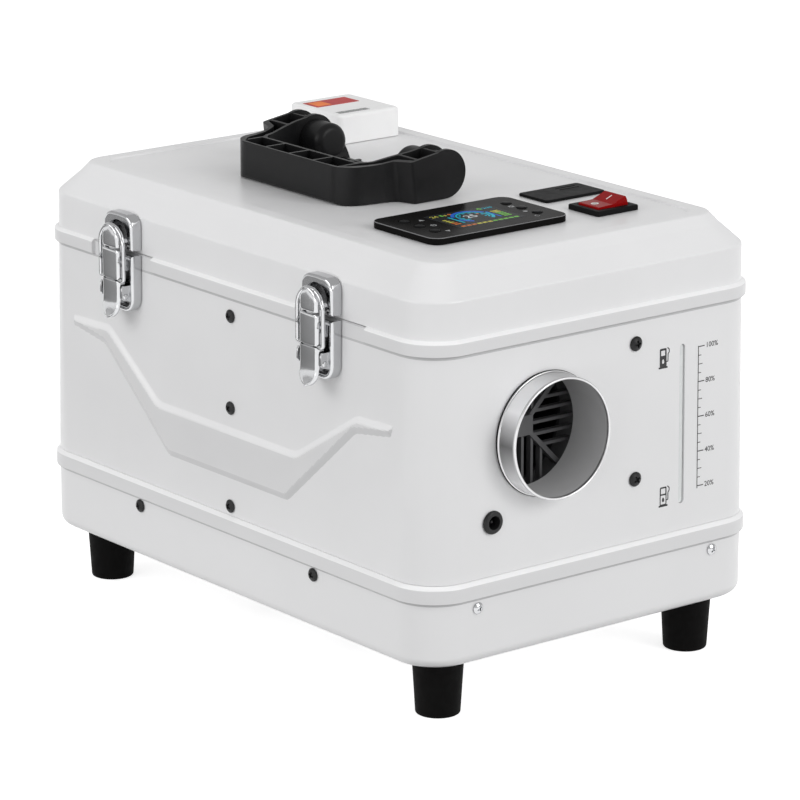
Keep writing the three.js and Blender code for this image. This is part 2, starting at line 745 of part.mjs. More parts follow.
// ---------------------------------------------------------------- lid
const D0 = lean(261.5);
{
  const outer = [
    [lean(Z_SEAM) + 0, Z_SEAM + GAP],
    [lean(260.5), 260.5],
    [D0 + 1.2, 262.6],
    [D0 + 12.2, 273.6],
    [D0 + 14.8, 276.6],
    [D0 + 16.8, 279],
    [D0 + 18.6, 280.1],
    [D0 + 27.2, 280.2],
    [D0 + 28.2, Z_PANEL],
  ];
  const inner = [
    [lean(Z_SEAM) + WALL, Z_SEAM],
    [lean(241) + WALL, 241.0],
    [lean(241) + 6.8, 241.01],
    [lean(241) + 6.8, 243.0],
    [lean(243) + WALL, 243.01],
    [D0 + WALL, 260.5],
    [D0 + 13.2, 271.8],
    [D0 + 18.4, 276.8],
    [D0 + 28, 277],
  ];
  const lid = cut(
    loft(outer),
    loft(inner),
    // switch cut-out, controller cable hole, handle bracket holes
    box(SWITCH_X - 12, SWITCH_X + 12, SWITCH_Y - 14.6, SWITCH_Y + 14.6, 270, 290),
    cyl("z", 270, 290, 110, -26, 8, 8, 16),
  );
  add(lidGroup, "lid_shell", lid, M.white);

  const ring = (i0, i1, z0, z1) =>
    cut(loft([[i0, z0], [i0, z1]], 3), loft([[i1, z0 - 1], [i1, z1 + 1]], 3));
  add(lidGroup, "lid_gasket", ring(lean(239) + 2.4, lean(239) + 6.4, Z_SEAM + GAP, 240.7), M.foam);
}

// ---------------------------------------------------------------- controller and its six keys
const KEYS = [
  [96.5, -66.3], [111.3, -66.3], [126.1, -66.3],
  [96.5, 13.3], [111.3, 13.3], [126.1, 13.3],
];
{
  const l = LCD;
  const shapeAt = (d) => roundRect(l.x0 + d, l.x1 - d, l.y0 + d, l.y1 - d, l.r - d, 4);
  const base = join(
    prism("z", shapeAt(0), l.z0, l.z1 - 0.5),
    prism("z", shapeAt(0.6), l.z0, l.z1),
    cyl("z", 271, 280, 110, -26, 6, 6, 16),
  );
  add(
    lidGroup,
    "lcd_housing",
    cut(base, KEYS.map(([x, y]) => cyl("z", 281, 285, x, y, 3.6, 3.6, 10))),
    M.gloss,
  );
  const key = geometryOf(
    turned("z", [[0, 0], [3.1, 0], [3.1, 2], [2.5, 2.4], [0, 2.4]], 0, 0, 10),
  );
  KEYS.forEach(([x, y], i) =>
    add(lidGroup, "key_" + (i + 1), key, M.gloss, x, y, 282),
  );
}

// ---------------------------------------------------------------- rocker switch
{
  const sw = group(lidGroup, SWITCH_X, SWITCH_Y, 281);
  const housing = cut(
    join(
      prism("z", roundRect(-14.4, 14.4, -16.6, 16.6, 1.6, 2), -1.7, 1.0),
      prism("z", roundRect(-13.8, 13.8, -16, 16, 1.4, 2), 0.5, 1.5),
      box(-11.7, 11.7, -14.3, 14.3, -22, -1),
    ),
    box(-9.7, 9.7, -12.5, 12.5, -14, 3),
    cyl("x", -10.9, 10.9, 0, 0, 1.8, 1.8, 12),
  );
  add(sw, "switch_housing", housing, M.plastic);
  // Rocker, resting with its rear half up. Ends are arcs about the pivot so that it turns inside the bezel.
  const R = 12.1;
  const tilt = 12;
  const P = (deg, r = R) => {
    const a = ((deg + 0) * Math.PI) / 180;
    return [r * Math.cos(a), r * Math.sin(a)];
  };
  const mid = [
    P(-25), P(-8), P(10), P(24),
    [0, 3.1],
    P(156), P(170), P(188), P(205),
    [-5, -7.5], [5, -7.5],
  ];
  const c = Math.cos((tilt * Math.PI) / 180);
  const s = Math.sin((tilt * Math.PI) / 180);
  const tilted = mid.map(([y, z]) => [y * c - z * s, y * s + z * c]);
  add(
    sw,
    "rocker",
    join(prism("x", tilted, -9.3, 9.3), cyl("x", -10.7, 10.7, 0, 0, 1.45, 1.45, 12)),
    M.red,
  );
}

// ---------------------------------------------------------------- cover plate and alarm box
add(
  lidGroup,
  "cover_plate",
  join(
    prism("z", roundRect(70, 98, 44.5, 93, 2.5, 3), Z_PANEL + GAP, Z_PANEL + 1.5),
    prism("z", roundRect(70.6, 97.4, 45.1, 92.4, 2.2, 3), Z_PANEL + GAP, Z_PANEL + 1.9),
  ),
  M.plastic,
);
{
  const shapeAt = (d) => roundRect(-169.4 + d, -114.2 - d, 47.4 + d, 97.4 - d, 3.5, 3);
  const alarm = join(
    prism("z", shapeAt(0), Z_PANEL + GAP, 296.6),
    prism("z", shapeAt(0.9), Z_PANEL + GAP, 298.1),
    prism("z", shapeAt(2), Z_PANEL + GAP, 298.8),
  );
  add(lidGroup, "alarm_box", alarm, M.boxwhite);
}

// ---------------------------------------------------------------- handle and bracket
{
  // Handle frame: origin on the pivot axis, +Y to the rear, modelled folded forward onto the lid.
  const zf = -HANDLE_END_R; // underside when folded
  const hd = group(lidGroup, HANDLE_X, HANDLE_PIVOT_Y, HANDLE_PIVOT_Z);
  const GY0 = -65.5; // front of the grip from the pivot
  const GY1 = -46.5;
  const TOP = 8.6; // top of the grip above the pivot
  const mirror = (s, pts) => pts.map(([x, y]) => [s * x, y]);
  const half = (s) =>
    // plan outline of one leg, outer then inner side
    mirror(s, [
      ...arc(44.5, -51, 14.5, -90, -5, 5), [61.6, -40], [62.4, -34.5], [64.8, -29.6], [70, -27.6], [77, -25.2], [77, 0],
      [57, 0], [57, -14.5], [50.5, -41.5], [49, -44.5], [46, GY1], [30, GY1], [30, GY0],
    ]);
  const profile = [
    [GY0, zf + 3], [GY0 + 1.5, zf + 0.6], [GY0 + 3, zf], [0, zf], [0, 14.9], [-4, 14.5],
    [-21, 11.9], [-27, 10.9], [-37.5, 8.9], [-45, TOP], [GY0 + 1.2, TOP], [GY0, TOP - 1.5],
  ];
  const X = (s, a, b, r, n = 24) => cyl("x", Math.min(s * a, s * b), Math.max(s * a, s * b), 0, 0, r, r, n);
  const blank = prism("x", profile, -90, 90);
  const plan = join(
    prism("z", half(1), -30, 30),
    prism("z", half(-1), -30, 30),
    box(-45, 45, GY0, GY1, -30, 30),
  );
  // Each end is a core between two round flanges.
  const ends = [1, -1].map((s) =>
    join(X(s, 57, 60.2, HANDLE_END_R), X(s, 60, 74.2, 13), X(s, 74, 77, HANDLE_END_R)),
  );
  let handle = join(blank.intersect(plan), ends);
  // Hollows open to the top, left between ribs, and the valley over each core.
  const w = 2.6;
  const floor = zf + w;
  const pockets = [];
  const gripBays = [-49, -24.5, 0, 24.5, 49];
  for (let i = 0; i < 4; i++)
    pockets.push(
      box(gripBays[i] + w / 2, gripBays[i + 1] - w / 2, GY0 + w, GY1 - w, floor, 30),
    );
  for (const s of [1, -1]) {
    const p = [
      [50.3, -47.1], [50.3, -61.2], [53.7, -58.7], [56.1, -54.1], [58.9, -41], [59.8, -34.2], [62.4, -28.2],
      [63.9, -27.1], [69.1, -25.1], [74.4, -23.1], [74.4, -22.6], [57.7, -22.6], [53.2, -41.6],
    ];
    const q = [[58.3, -20.2], [74.4, -20.2], [74.4, -6.6], [59.8, -6.6], [59.8, -14]];
    const v = [[60.2, -4.6], [74, -4.6], [74, 20], [60.2, 20]];
    pockets.push(
      prism("z", mirror(s, p), floor, 30),
      prism("z", mirror(s, q), floor + 6, 30),
      prism("z", mirror(s, v), 12.9, 30),
      X(s, 56, 66, 5.4, 14), // blind bore for the bracket's trunnion
    );
  }
  handle = cut(handle, pockets);
  add(hd, "handle", handle, M.plastic);

  // Bracket: base plate on the lid, a domed ear with a trunnion inside each leg, low ribs between them.
  const zl = Z_PANEL + GAP - HANDLE_PIVOT_Z;
  const ear = (s) =>
    join(
      turned("x", mirror(1, [[0, 37.6], [8.3, 37.6], [10.9, 38.9], [12.3, 41.6], [12.3, 56.6], [0, 56.6]]).map(([r, h]) => [r, s * h])),
      prism(
        "x",
        [[-13.6, zl], [13.6, zl], [13.6, zl + 2.6], [12.6, -6], [12.3, 0], [-12.3, 0], [-12.6, -6], [-13.6, zl + 2.6]],
        Math.min(s * 42, s * 56.6),
        Math.max(s * 42, s * 56.6),
      ),
      prism("y", mirror(s, [[35, zl], [42.1, zl], [42.1, -3], [39.6, -5.5], [38, -9], [35, zl + 2.6]]), -12.6, 12.6),
      X(s, 56, 64, 4.9, 14),
    );
  const bracket = join(
    prism("z", roundRect(-56.4, 56.4, -13.6, 16, 3, 3), zl, zl + 2.6),
    ear(1),
    ear(-1),
    box(-38, 38, -8.5, -6, zl + 2, -9.8),
    box(-38, 38, 6, 8.5, zl + 2, -9.8),
    box(-14, -11.5, -11, 12, zl + 2, -9.8),
    box(11.5, 14, -11, 12, zl + 2, -9.8),
  );
  add(hd, "handle_bracket", bracket, M.plastic);
}

// ---------------------------------------------------------------- toggle latches
// Latch frame: x across, y = -d out of the wall, z up; wall plane at y = 0 at the seam.
const wallAtSeam = -HW + lean(Z_SEAM);
const PIVOT1 = { d: 12, z: 234 }; // lever on base
const PIVOT2 = { d: 12.5, z: 221.5 }; // bail on lever
{
  const d = (v) => -v;
  const X = (a, b, f) => [-1, 1].map((s) => f(Math.min(s * a, s * b), Math.max(s * a, s * b)));
  // Base on the body.
  const baseOutline = [
    [15, 237.2], [-15, 237.2], [-15, 209], ...arc(-6, 209, 9, 180, 270, 4), ...arc(6, 209, 9, 270, 360, 4),
  ];
  const baseBlock = prism("y", baseOutline, d(8), d(0.75));
  const baseCore = prism(
    "y",
    [[13.5, 240], [-13.5, 240], [-13.5, 209], ...arc(-6, 209, 7.5, 180, 270, 4), ...arc(6, 209, 7.5, 270, 360, 4)],
    d(9),
    d(2.2),
  );
  const ear = [
    [-1.5, 227.5], [d(9), 227.5], ...arc(d(PIVOT1.d), PIVOT1.z, 2.9, 250, 90, 5), [-1.5, 237.2],
  ];
  const lowEar = [[-1.5, 207], ...arc(d(11.4), 211.5, 2.2, 270, 180, 3), [d(13.6), 218], [-1.5, 218]];
  const base = join(
    cut(baseBlock, baseCore),
    X(9.6, 10.8, (a, b) => prism("x", ear, a, b)),
    X(10.6, 12.2, (a, b) => prism("x", lowEar, a, b)),
    cyl("x", -10.8, 10.8, d(PIVOT1.d), PIVOT1.z, 1.4, 1.4, 12),
  );
  // Strike on the lid: arched housing with a recess and the catch ledge.
  const arch = (hw, top, bottom) => [
    [hw, bottom], [hw, top - hw * 0.62],
    ...arc(0, top - hw * 0.95, hw, 22, 158, 6).map(([x, z]) => [x, Math.min(z, top)]),
    [-hw, top - hw * 0.62], [-hw, bottom],
  ];
  const strike = join(
    cut(
      prism("y", arch(15, 263, 240.5), d(8), d(0.45)),
      prism("y", arch(9.8, 257.5, 238), d(9), d(2)),
    ),
    box(-9.9, 9.9, d(12.4), d(1.5), 245.6, 248.4),
  );
  // Lever: channel with a finger tongue.
  const leverFront = [
    [9.2, 240.8], [-9.2, 240.8], [-9.2, 209], [-8, 203], ...arc(0, 204.5, 8, 200, 340, 6), [8, 203], [9.2, 209],
  ];
  const tongue = prism("y", leverFront, d(15), d(13.5));
  const flare = prism("x", [[d(13.5), 206], [d(15), 206], [d(17.4), 198.2], [d(16), 197.4]], -7.6, 7.6);
  const cheek = [
    [d(13.6), 239.6], [d(9.2), 239.6], [d(8.4), 238.6], [d(8.4), 222], [d(10.4), 216.6], [d(13.6), 212],
  ];
  let lever = join(tongue, flare, X(8, 9.2, (a, b) => prism("x", cheek, a, b)));
  lever = cut(
    lever,
    cyl("x", -12, 12, d(PIVOT1.d), PIVOT1.z, 1.75, 1.75, 12),
    cyl("x", -12, 12, d(PIVOT2.d), PIVOT2.z, 1.65, 1.65, 12),
    box(-12, 12, d(16), d(14.4), 220.6, 222),
  );
  // Bail: round-wire loop with a domed pull plate on its arch, feet turned into the lever.
  const wire = 1.3;
  const path = [[7.4, PIVOT2.z], [12.5, PIVOT2.z], [12.5, 243.5]];
  for (let k = 1; k <= 5; k++) {
    const a = (k * Math.PI) / 6;
    path.push([12.5 * Math.cos(a), 243.5 + 12.6 * Math.sin(a)]);
  }
  path.push([-12.5, 243.5], [-12.5, PIVOT2.z], [-7.4, PIVOT2.z]);
  const loop = wireXZ(path, d(PIVOT2.d), wire);
  const dome = prism("y", [[8.6, 242.4], [8.6, 248], ...arc(0, 247.9, 8.6, 10, 170, 6), [-8.6, 248], [-8.6, 242.4]], d(15), d(13.7));
  const web = box(-5.5, 5.5, d(14), d(8.6), 248.8, 251.4);
  const strut = box(-5.5, 5.5, d(14), d(11.6), 250, 256.2);
  const bail = join(loop, dome, web, strut);
  const G = { base: geometryOf(base), strike: geometryOf(strike), lever: geometryOf(lever), bail: geometryOf(bail) };
  for (const [side, x] of [["left", -LATCH_X], ["right", LATCH_X]]) {
    const lg = group(caseGroup, x, wallAtSeam, 0);
    add(lg, "latch_base_" + side, G.base, M.chrome);
    add(lg, "latch_lever_" + side, G.lever, M.chrome);
    add(lg, "latch_bail_" + side, G.bail, M.chrome);
    add(lg, "latch_strike_" + side, G.strike, M.chrome);
  }
}

// ---------------------------------------------------------------- rear hinge
{
  const n = 7; // knuckles
  const len = 240;
  const pitch = len / n;
  const bodyK = [];
  const lidK = [];
  const yw = -wallAtSeam;
  for (let k = 0; k < n; k++) {
    const x0 = -len / 2 + k * pitch + 0.25;
    const x1 = -len / 2 + (k + 1) * pitch - 0.25;
    const barrel = cyl("x", x0, x1, HINGE_Y, HINGE_Z, 3.4, 3.4, 10);
    if (k % 2 === 0) bodyK.push(barrel, box(x0, x1, yw + 1, HINGE_Y, HINGE_Z - 3.4, HINGE_Z - 2));
    else lidK.push(barrel, box(x0, x1, yw + 1, HINGE_Y, HINGE_Z + 2, HINGE_Z + 3.4));
  }
  const bore = cyl("x", -len / 2 - 5, len / 2 + 5, HINGE_Y, HINGE_Z, 1.95, 1.95, 10);
  const bodyLeaf = cut(
    join(bodyK, box(-len / 2 + 0.25, len / 2 - 0.25, yw + 0.7, yw + 2, 205, HINGE_Z - 2.2)),
    bore,
  );
  const lidLeaf = cut(
    join(lidK, box(-len / 2 + 0.25, len / 2 - 0.25, yw + 0.45, yw + 1.75, HINGE_Z + 2.2, 258)),
    bore,
  );
  add(caseGroup, "hinge_leaf_body", bodyLeaf, M.chrome);
  add(lidGroup, "hinge_leaf_lid", lidLeaf, M.chrome);
  add(caseGroup, "hinge_pin", cyl("x", -len / 2 - 1, len / 2 + 1, HINGE_Y, HINGE_Z, 1.6, 1.6, 10), M.zinc);
}

export default root;
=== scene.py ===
# Looks of a portable diesel air heater in a toolbox-style steel case.
# Shapes are written in millimetres in the case's own frame and moved to the shared frame by OFFSET.
import math
import random

import bmesh
import bpy
from mathutils import Matrix, Vector


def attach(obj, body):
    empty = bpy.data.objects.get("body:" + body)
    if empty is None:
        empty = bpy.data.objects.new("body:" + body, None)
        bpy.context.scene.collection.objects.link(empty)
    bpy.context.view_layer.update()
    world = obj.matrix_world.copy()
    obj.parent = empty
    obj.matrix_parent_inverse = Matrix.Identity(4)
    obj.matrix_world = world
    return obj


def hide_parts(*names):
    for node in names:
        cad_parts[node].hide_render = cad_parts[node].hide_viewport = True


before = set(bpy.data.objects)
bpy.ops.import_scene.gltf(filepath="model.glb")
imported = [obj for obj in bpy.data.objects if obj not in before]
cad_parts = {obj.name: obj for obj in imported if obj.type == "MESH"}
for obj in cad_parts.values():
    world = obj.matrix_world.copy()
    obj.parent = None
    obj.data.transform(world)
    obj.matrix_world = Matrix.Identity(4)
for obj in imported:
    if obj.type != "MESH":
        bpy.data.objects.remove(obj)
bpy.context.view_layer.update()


random.seed(7)

# ------------------------------------------------------------------ sizes, mm, case frame
OFFSET = (-5.1, 3.4, 0.0)
HL, HW = 200.9, 131.85
Z_BEAD1, Z_BEAD2, Z_BEAD3, Z_BEAD4 = 77.8, 89.1, 228.2, 238.3
Z_SEAM, Z_PANEL = 237.0, 279.0
DRAFT = 0.01188
DUCT_Y, DUCT_Z = -41.3, 170.6
HANDLE = (-27.5, 4.0, 294.9)
SWITCH = (131.0, 62.0, 281.0)
LATCH_X = 103.0


def lean(z):
    return max(0.0, z - Z_BEAD2) * DRAFT


D0 = lean(261.5)
WALL_Y = -HW + lean(Z_SEAM)  # front wall at the seam


# ------------------------------------------------------------------ mesh helpers
def arc(cx, cy, r, a0, a1, n):
    return [
        (
            cx + r * math.cos(math.radians(a0 + (a1 - a0) * i / n)),
            cy + r * math.sin(math.radians(a0 + (a1 - a0) * i / n)),
        )
        for i in range(n + 1)
    ]


def rrect(x0, x1, y0, y1, r, n=8):
    return (
        arc(x1 - r, y1 - r, r, 0, 90, n)
        + arc(x0 + r, y1 - r, r, 90, 180, n)
        + arc(x0 + r, y0 + r, r, 180, 270, n)
        + arc(x1 - r, y0 + r, r, 270, 360, n)
    )


def slot_outline(cx, cy, w, h, n=12):
    return arc(cx, cy + h / 2 - w / 2, w / 2, 0, 180, n) + arc(
        cx, cy - h / 2 + w / 2, w / 2, 180, 360, n
    )


def fillet(points, radii, n=6, closed=False):
    """Rounds the corners of a polyline. radii: one number, or one for each point."""
    out = []
    m = len(points)
    for i, p in enumerate(points):
        r = radii if isinstance(radii, (int, float)) else radii[i]
        if r <= 0 or (not closed and i in (0, m - 1)):
            out.append(tuple(p))
            continue
        p = Vector(p).to_2d()
        a = Vector(points[(i - 1) % m]).to_2d() - p
        b = Vector(points[(i + 1) % m]).to_2d() - p
        la, lb = a.length, b.length
        a.normalize()
        b.normalize()
        dot = max(-1.0, min(1.0, a.dot(b)))
        half = math.acos(dot) / 2
        if half > math.radians(89.5) or half < 0.01:
            out.append(tuple(p))
            continue
        t = min(r / math.tan(half), la * 0.49, lb * 0.49)
        r = t * math.tan(half)
        c = p + (a + b).normalized() * (r / math.sin(half))
        s, e = p + a * t - c, p + b * t - c
        ang = math.atan2(s.x * e.y - s.y * e.x, s.dot(e))
        for k in range(n + 1):
            w = ang * k / n
            out.append(
                (
                    c.x + s.x * math.cos(w) - s.y * math.sin(w),
                    c.y + s.x * math.sin(w) + s.y * math.cos(w),
                )
            )
    return out


def bm_of(verts, faces):
    bm = bmesh.new()
    vs = [bm.verts.new(v) for v in verts]
    for f in faces:
        try:
            bm.faces.new([vs[i] for i in f])
        except ValueError:
            pass
    bmesh.ops.remove_doubles(bm, verts=bm.verts, dist=1e-5)
    bmesh.ops.recalc_face_normals(bm, faces=bm.faces)
    return bm


def rings_bm(rings, cap0=True, cap1=True, closed=False):
    """Skins a list of equal-length point rings. closed joins the last ring to the first."""
    n = len(rings[0])
    verts = [v for r in rings for v in r]
    faces = []
    m = len(rings)
    for k in range(m if closed else m - 1):
        a, b = k * n, ((k + 1) % m) * n
        for i in range(n):
            j = (i + 1) % n
            faces.append((a + i, a + j, b + j, b + i))
    if not closed:
        if cap0:
            faces.append(tuple(range(n))[::-1])
        if cap1:
            faces.append(tuple((m - 1) * n + i for i in range(n)))
    return bm_of(verts, faces)


def xyz(axis, u, v, w):
    """(u, v) in the section's plane and w along the axis, to x, y, z."""
    return {"x": (w, u, v), "y": (u, w, v), "z": (u, v, w)}[axis]


def prism(axis, pts, a, b):
    return rings_bm([[xyz(axis, u, v, w) for u, v in pts] for w in (a, b)])


def box(x0, x1, y0, y1, z0, z1):
    return prism("z", [(x0, y0), (x1, y0), (x1, y1), (x0, y1)], z0, z1)


def cyl(axis, a, b, p, q, ra, rb=None, n=48):
    rb = ra if rb is None else rb
    return rings_bm(
        [
            [
                xyz(
                    axis,
                    p + r * math.cos(2 * math.pi * i / n),
                    q + r * math.sin(2 * math.pi * i / n),
                    w,
                )
                for i in range(n)
            ]
            for w, r in ((a, ra), (b, rb))
        ]
    )


def turned(axis, profile, p=0.0, q=0.0, n=64, flip=1):
    """Turns (radius, height) about an axis. A profile that doesn't start and end at radius 0 closes on itself."""
    prof = [tuple(v) for v in profile]
    solid = prof[0][0] < 1e-6 and prof[-1][0] < 1e-6
    verts, faces, idx = [], [], []
    for r, h in prof:
        if r < 1e-6:
            idx.append([len(verts)] * n)
            verts.append(xyz(axis, p, q, h * flip))
        else:
            idx.append(list(range(len(verts), len(verts) + n)))
            verts += [
                xyz(
                    axis,
                    p + r * math.cos(2 * math.pi * i / n),
                    q + r * math.sin(2 * math.pi * i / n),
                    h * flip,
                )
                for i in range(n)
            ]
    m = len(prof)
    for k in range(m - 1 if solid else m):
        a, b = idx[k], idx[(k + 1) % m]
        for i in range(n):
            j = (i + 1) % n
            f = []
            for v in (a[i], a[j], b[j], b[i]):
                if v not in f:
                    f.append(v)
            if len(f) > 2:
                faces.append(tuple(f))
    return bm_of(verts, faces)


def block(outline_at, steps, axis="z"):
    """Lofts outline_at(inset) through (inset, height) steps."""
    return rings_bm(
        [[xyz(axis, u, v, h) for u, v in outline_at(d)] for d, h in steps]
    )


def tube(path, r, n=10, closed=False, flat=None):
    """Round wire along 3-D points."""
    pts = [Vector(p) for p in path]
    m = len(pts)
    rings = []
    up = None
    for k in range(m):
        if closed:
            t = (pts[(k + 1) % m] - pts[k - 1]).normalized()
        else:
            t = (pts[min(k + 1, m - 1)] - pts[max(k - 1, 0)]).normalized()
        if up is None:
            up = t.orthogonal().normalized()
        up = (up - t * up.dot(t)).normalized()
        side = t.cross(up)
        rings.append(
            [
                tuple(
                    pts[k]
                    + up * (r * math.cos(2 * math.pi * i / n))
                    + side * ((flat or r) * math.sin(2 * math.pi * i / n))
                )
                for i in range(n)
            ]
        )
    return rings_bm(rings, closed=closed)


def moved(bm, matrix):
    bmesh.ops.transform(bm, matrix=matrix, verts=bm.verts)
    if matrix.determinant() < 0:
        bmesh.ops.reverse_faces(bm, faces=bm.faces)
    return bm


def shifted(bm, x=0, y=0, z=0):
    return moved(bm, Matrix.Translation((x, y, z)))


def to_mesh(bm, name="tmp"):
    me = bpy.data.meshes.new(name)
    bm.to_mesh(me)
    return me


def merged(*parts):
    """Several solids in one mesh, without joining them."""
    out = bmesh.new()
    for p in parts:
        if isinstance(p, (list, tuple)):
            p = merged(*p)
        me = to_mesh(p)
        out.from_mesh(me)
        bpy.data.meshes.remove(me)
        p.free()
    return out


def boolean(a, tools, op="DIFFERENCE"):
    if not isinstance(tools, (list, tuple)):
        tools = [tools]
    flat = []
    for t in tools:
        flat += t if isinstance(t, (list, tuple)) else [t]
    oa = bpy.data.objects.new("bool_a", to_mesh(a))
    bpy.context.scene.collection.objects.link(oa)
    others = []
    for t in flat:
        ob = bpy.data.objects.new("bool_b", to_mesh(t))
        bpy.context.scene.collection.objects.link(ob)
        others.append(ob)
        m = oa.modifiers.new("b", "BOOLEAN")
        m.operation = op
        m.object = ob
        m.solver = "MANIFOLD"
        t.free()
    dg = bpy.context.evaluated_depsgraph_get()
    dg.update()
    me = bpy.data.meshes.new_from_object(oa.evaluated_get(dg))
    out = bmesh.new()
    out.from_mesh(me)
    bmesh.ops.remove_doubles(out, verts=out.verts, dist=2e-4)
    for o in [oa] + others:
        d = o.data
        bpy.data.objects.remove(o)
        bpy.data.meshes.remove(d)
    bpy.data.meshes.remove(me)
    a.free()
    return out


def cut(a, *tools):
    return boolean(a, list(tools))


def join(a, *others):
    return boolean(a, list(others), "UNION")


def leaned(bm, way, z0=Z_BEAD2):
    for v in bm.verts:
        d = (v.co.z - z0) * DRAFT
        if way == "x":
            v.co.x -= d
        elif way == "y":
            v.co.y += d
    return bm


def flatten(bm, angle=0.6):
    bmesh.ops.dissolve_limit(
        bm,
        angle_limit=math.radians(angle),
        verts=bm.verts,
        edges=bm.edges,
        delimit={"NORMAL"},
    )
    return bm


PIECES = {}


def piece(
    name, bm, material, body, nodes=(), bevel=0.0, seg=2, angle=35, sharp=38,
    limit=True, weight=True, subdiv=0, slim=False,
):
    """Adds a finished piece: bevel in mm on every edge sharper than angle, smooth shading, shared frame."""
    if slim:
        flatten(bm)
    me = to_mesh(bm, name)
    bm.free()
    o = bpy.data.objects.new(name, me)
    bpy.context.scene.collection.objects.link(o)
    mats = material if isinstance(material, (list, tuple)) else [material]
    for m in mats:
        me.materials.append(m)
    if bevel:
        m = o.modifiers.new("bevel", "BEVEL")
        m.width = bevel
        m.segments = seg
        m.limit_method = "ANGLE"
        m.angle_limit = math.radians(angle)
        m.use_clamp_overlap = limit
        m.miter_outer = "MITER_ARC"
        m.harden_normals = False
    if subdiv:
        m = o.modifiers.new("sub", "SUBSURF")
        m.levels = m.render_levels = subdiv
    if o.modifiers:
        dg = bpy.context.evaluated_depsgraph_get()
        dg.update()
        new = bpy.data.meshes.new_from_object(o.evaluated_get(dg))
        o.modifiers.clear()
        o.data = new
        bpy.data.meshes.remove(me)
        me = new
        me.name = name
    for p in me.polygons:
        p.use_smooth = True
    me.set_sharp_from_angle(angle=math.radians(sharp))
    me.transform(
        Matrix.Scale(0.001, 4) @ Matrix.Translation(OFFSET)
    )
    if weight:
        m = o.modifiers.new("normals", "WEIGHTED_NORMAL")
        m.keep_sharp = True
        m.weight = 80
    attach(o, body)
    if nodes:
        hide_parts(*([nodes] if isinstance(nodes, str) else nodes))
    PIECES[name] = o
    return o


# ------------------------------------------------------------------ materials
def material(name):
    m = bpy.data.materials.new(name)
    m.use_nodes = True
    t = m.node_tree
    t.nodes.clear()
    out = t.nodes.new("ShaderNodeOutputMaterial")
    b = t.nodes.new("ShaderNodeBsdfPrincipled")
    t.links.new(b.outputs[0], out.inputs[0])
    return m, t, b


def node(t, kind, **values):
    n = t.nodes.new("ShaderNode" + kind)
    for k, v in values.items():
        if k in n.inputs:
            n.inputs[k].default_value = v
        else:
            setattr(n, k, v)
    return n


def coords(t, scale=(1, 1, 1), kind="Object"):
    tc = t.nodes.new("ShaderNodeTexCoord")
    mp = t.nodes.new("ShaderNodeMapping")
    mp.inputs["Scale"].default_value = scale
    t.links.new(tc.outputs[kind], mp.inputs["Vector"])
    return mp.outputs[0]


def noise(t, scale, detail=2.0, rough=0.5, stretch=(1, 1, 1)):
    n = node(t, "TexNoise", Scale=scale, Detail=detail, Roughness=rough)
    t.links.new(coords(t, stretch), n.inputs["Vector"])
    return n.outputs["Fac"]


def ramp(t, fac, stops):
    r = t.nodes.new("ShaderNodeValToRGB")
    el = r.color_ramp.elements
    el.remove(el[1])
    for i, (p, c) in enumerate(stops):
        e = el[0] if i == 0 else el.new(p)
        e.position = p
        e.color = (*c, 1) if len(c) == 3 else c
    t.links.new(fac, r.inputs["Fac"])
    return r.outputs["Color"]


def span(t, fac, lo, hi, a=0.0, b=1.0):
    m = node(t, "MapRange")
    m.inputs["From Min"].default_value = a
    m.inputs["From Max"].default_value = b
    m.inputs["To Min"].default_value = lo
    m.inputs["To Max"].default_value = hi
    t.links.new(fac, m.inputs["Value"])
    return m.outputs["Result"]


def bump(t, height, strength, distance, after=None):
    n = node(t, "Bump", Strength=strength, Distance=distance)
    t.links.new(height, n.inputs["Height"])
    if after is not None:
        t.links.new(after, n.inputs["Normal"])
    return n.outputs["Normal"]


def tint(t, b, colour, amount, fac):
    """Base colour that drifts by amount round colour."""
    a = tuple(max(0.0, c * (1 - amount)) for c in colour)
    z = tuple(min(1.0, c * (1 + amount)) for c in colour)
    t.links.new(ramp(t, fac, [(0.3, a), (0.7, z)]), b.inputs["Base Color"])


def paint(name, colour, rough=(0.30, 0.40)):
    m, t, b = material(name)
    tint(t, b, colour, 0.012, noise(t, 18, 3))
    t.links.new(span(t, noise(t, 70, 4), *rough, 0.3, 0.7), b.inputs["Roughness"])
    fine = bump(t, noise(t, 950, 2, 0.45), 0.06, 0.0002)
    wide = bump(t, noise(t, 160, 1), 0.03, 0.0004, fine)
    t.links.new(wide, b.inputs["Normal"])
    b.inputs["Coat Weight"].default_value = 0.12
    b.inputs["Coat Roughness"].default_value = 0.22
    return m


def plastic(name, colour, rough=(0.42, 0.55), grain=0.10, scale=2600, coat=0.0, drift=0.10, spec=0.5):
    m, t, b = material(name)
    tint(t, b, colour, drift, noise(t, 120, 4))
    b.inputs["Specular IOR Level"].default_value = spec
    t.links.new(span(t, noise(t, 240, 5), *rough, 0.3, 0.7), b.inputs["Roughness"])
    v = node(t, "TexVoronoi", Scale=scale)
    t.links.new(coords(t), v.inputs["Vector"])
    t.links.new(bump(t, v.outputs["Distance"], grain, 0.0001), b.inputs["Normal"])
    if coat:
        b.inputs["Coat Weight"].default_value = coat
        b.inputs["Coat Roughness"].default_value = 0.08
    return m


def metal(name, colour, rough=(0.10, 0.2), stretch=(1, 1, 1), scale=900, strength=0.05, aniso=0.0):
    m, t, b = material(name)
    b.inputs["Metallic"].default_value = 1.0
    tint(t, b, colour, 0.04, noise(t, 45, 3))
    lines = noise(t, scale, 4, 0.6, stretch)
    t.links.new(span(t, lines, *rough, 0.3, 0.7), b.inputs["Roughness"])
    t.links.new(bump(t, lines, strength, 0.00006), b.inputs["Normal"])
    if aniso:
        b.inputs["Anisotropic"].default_value = aniso
    return m


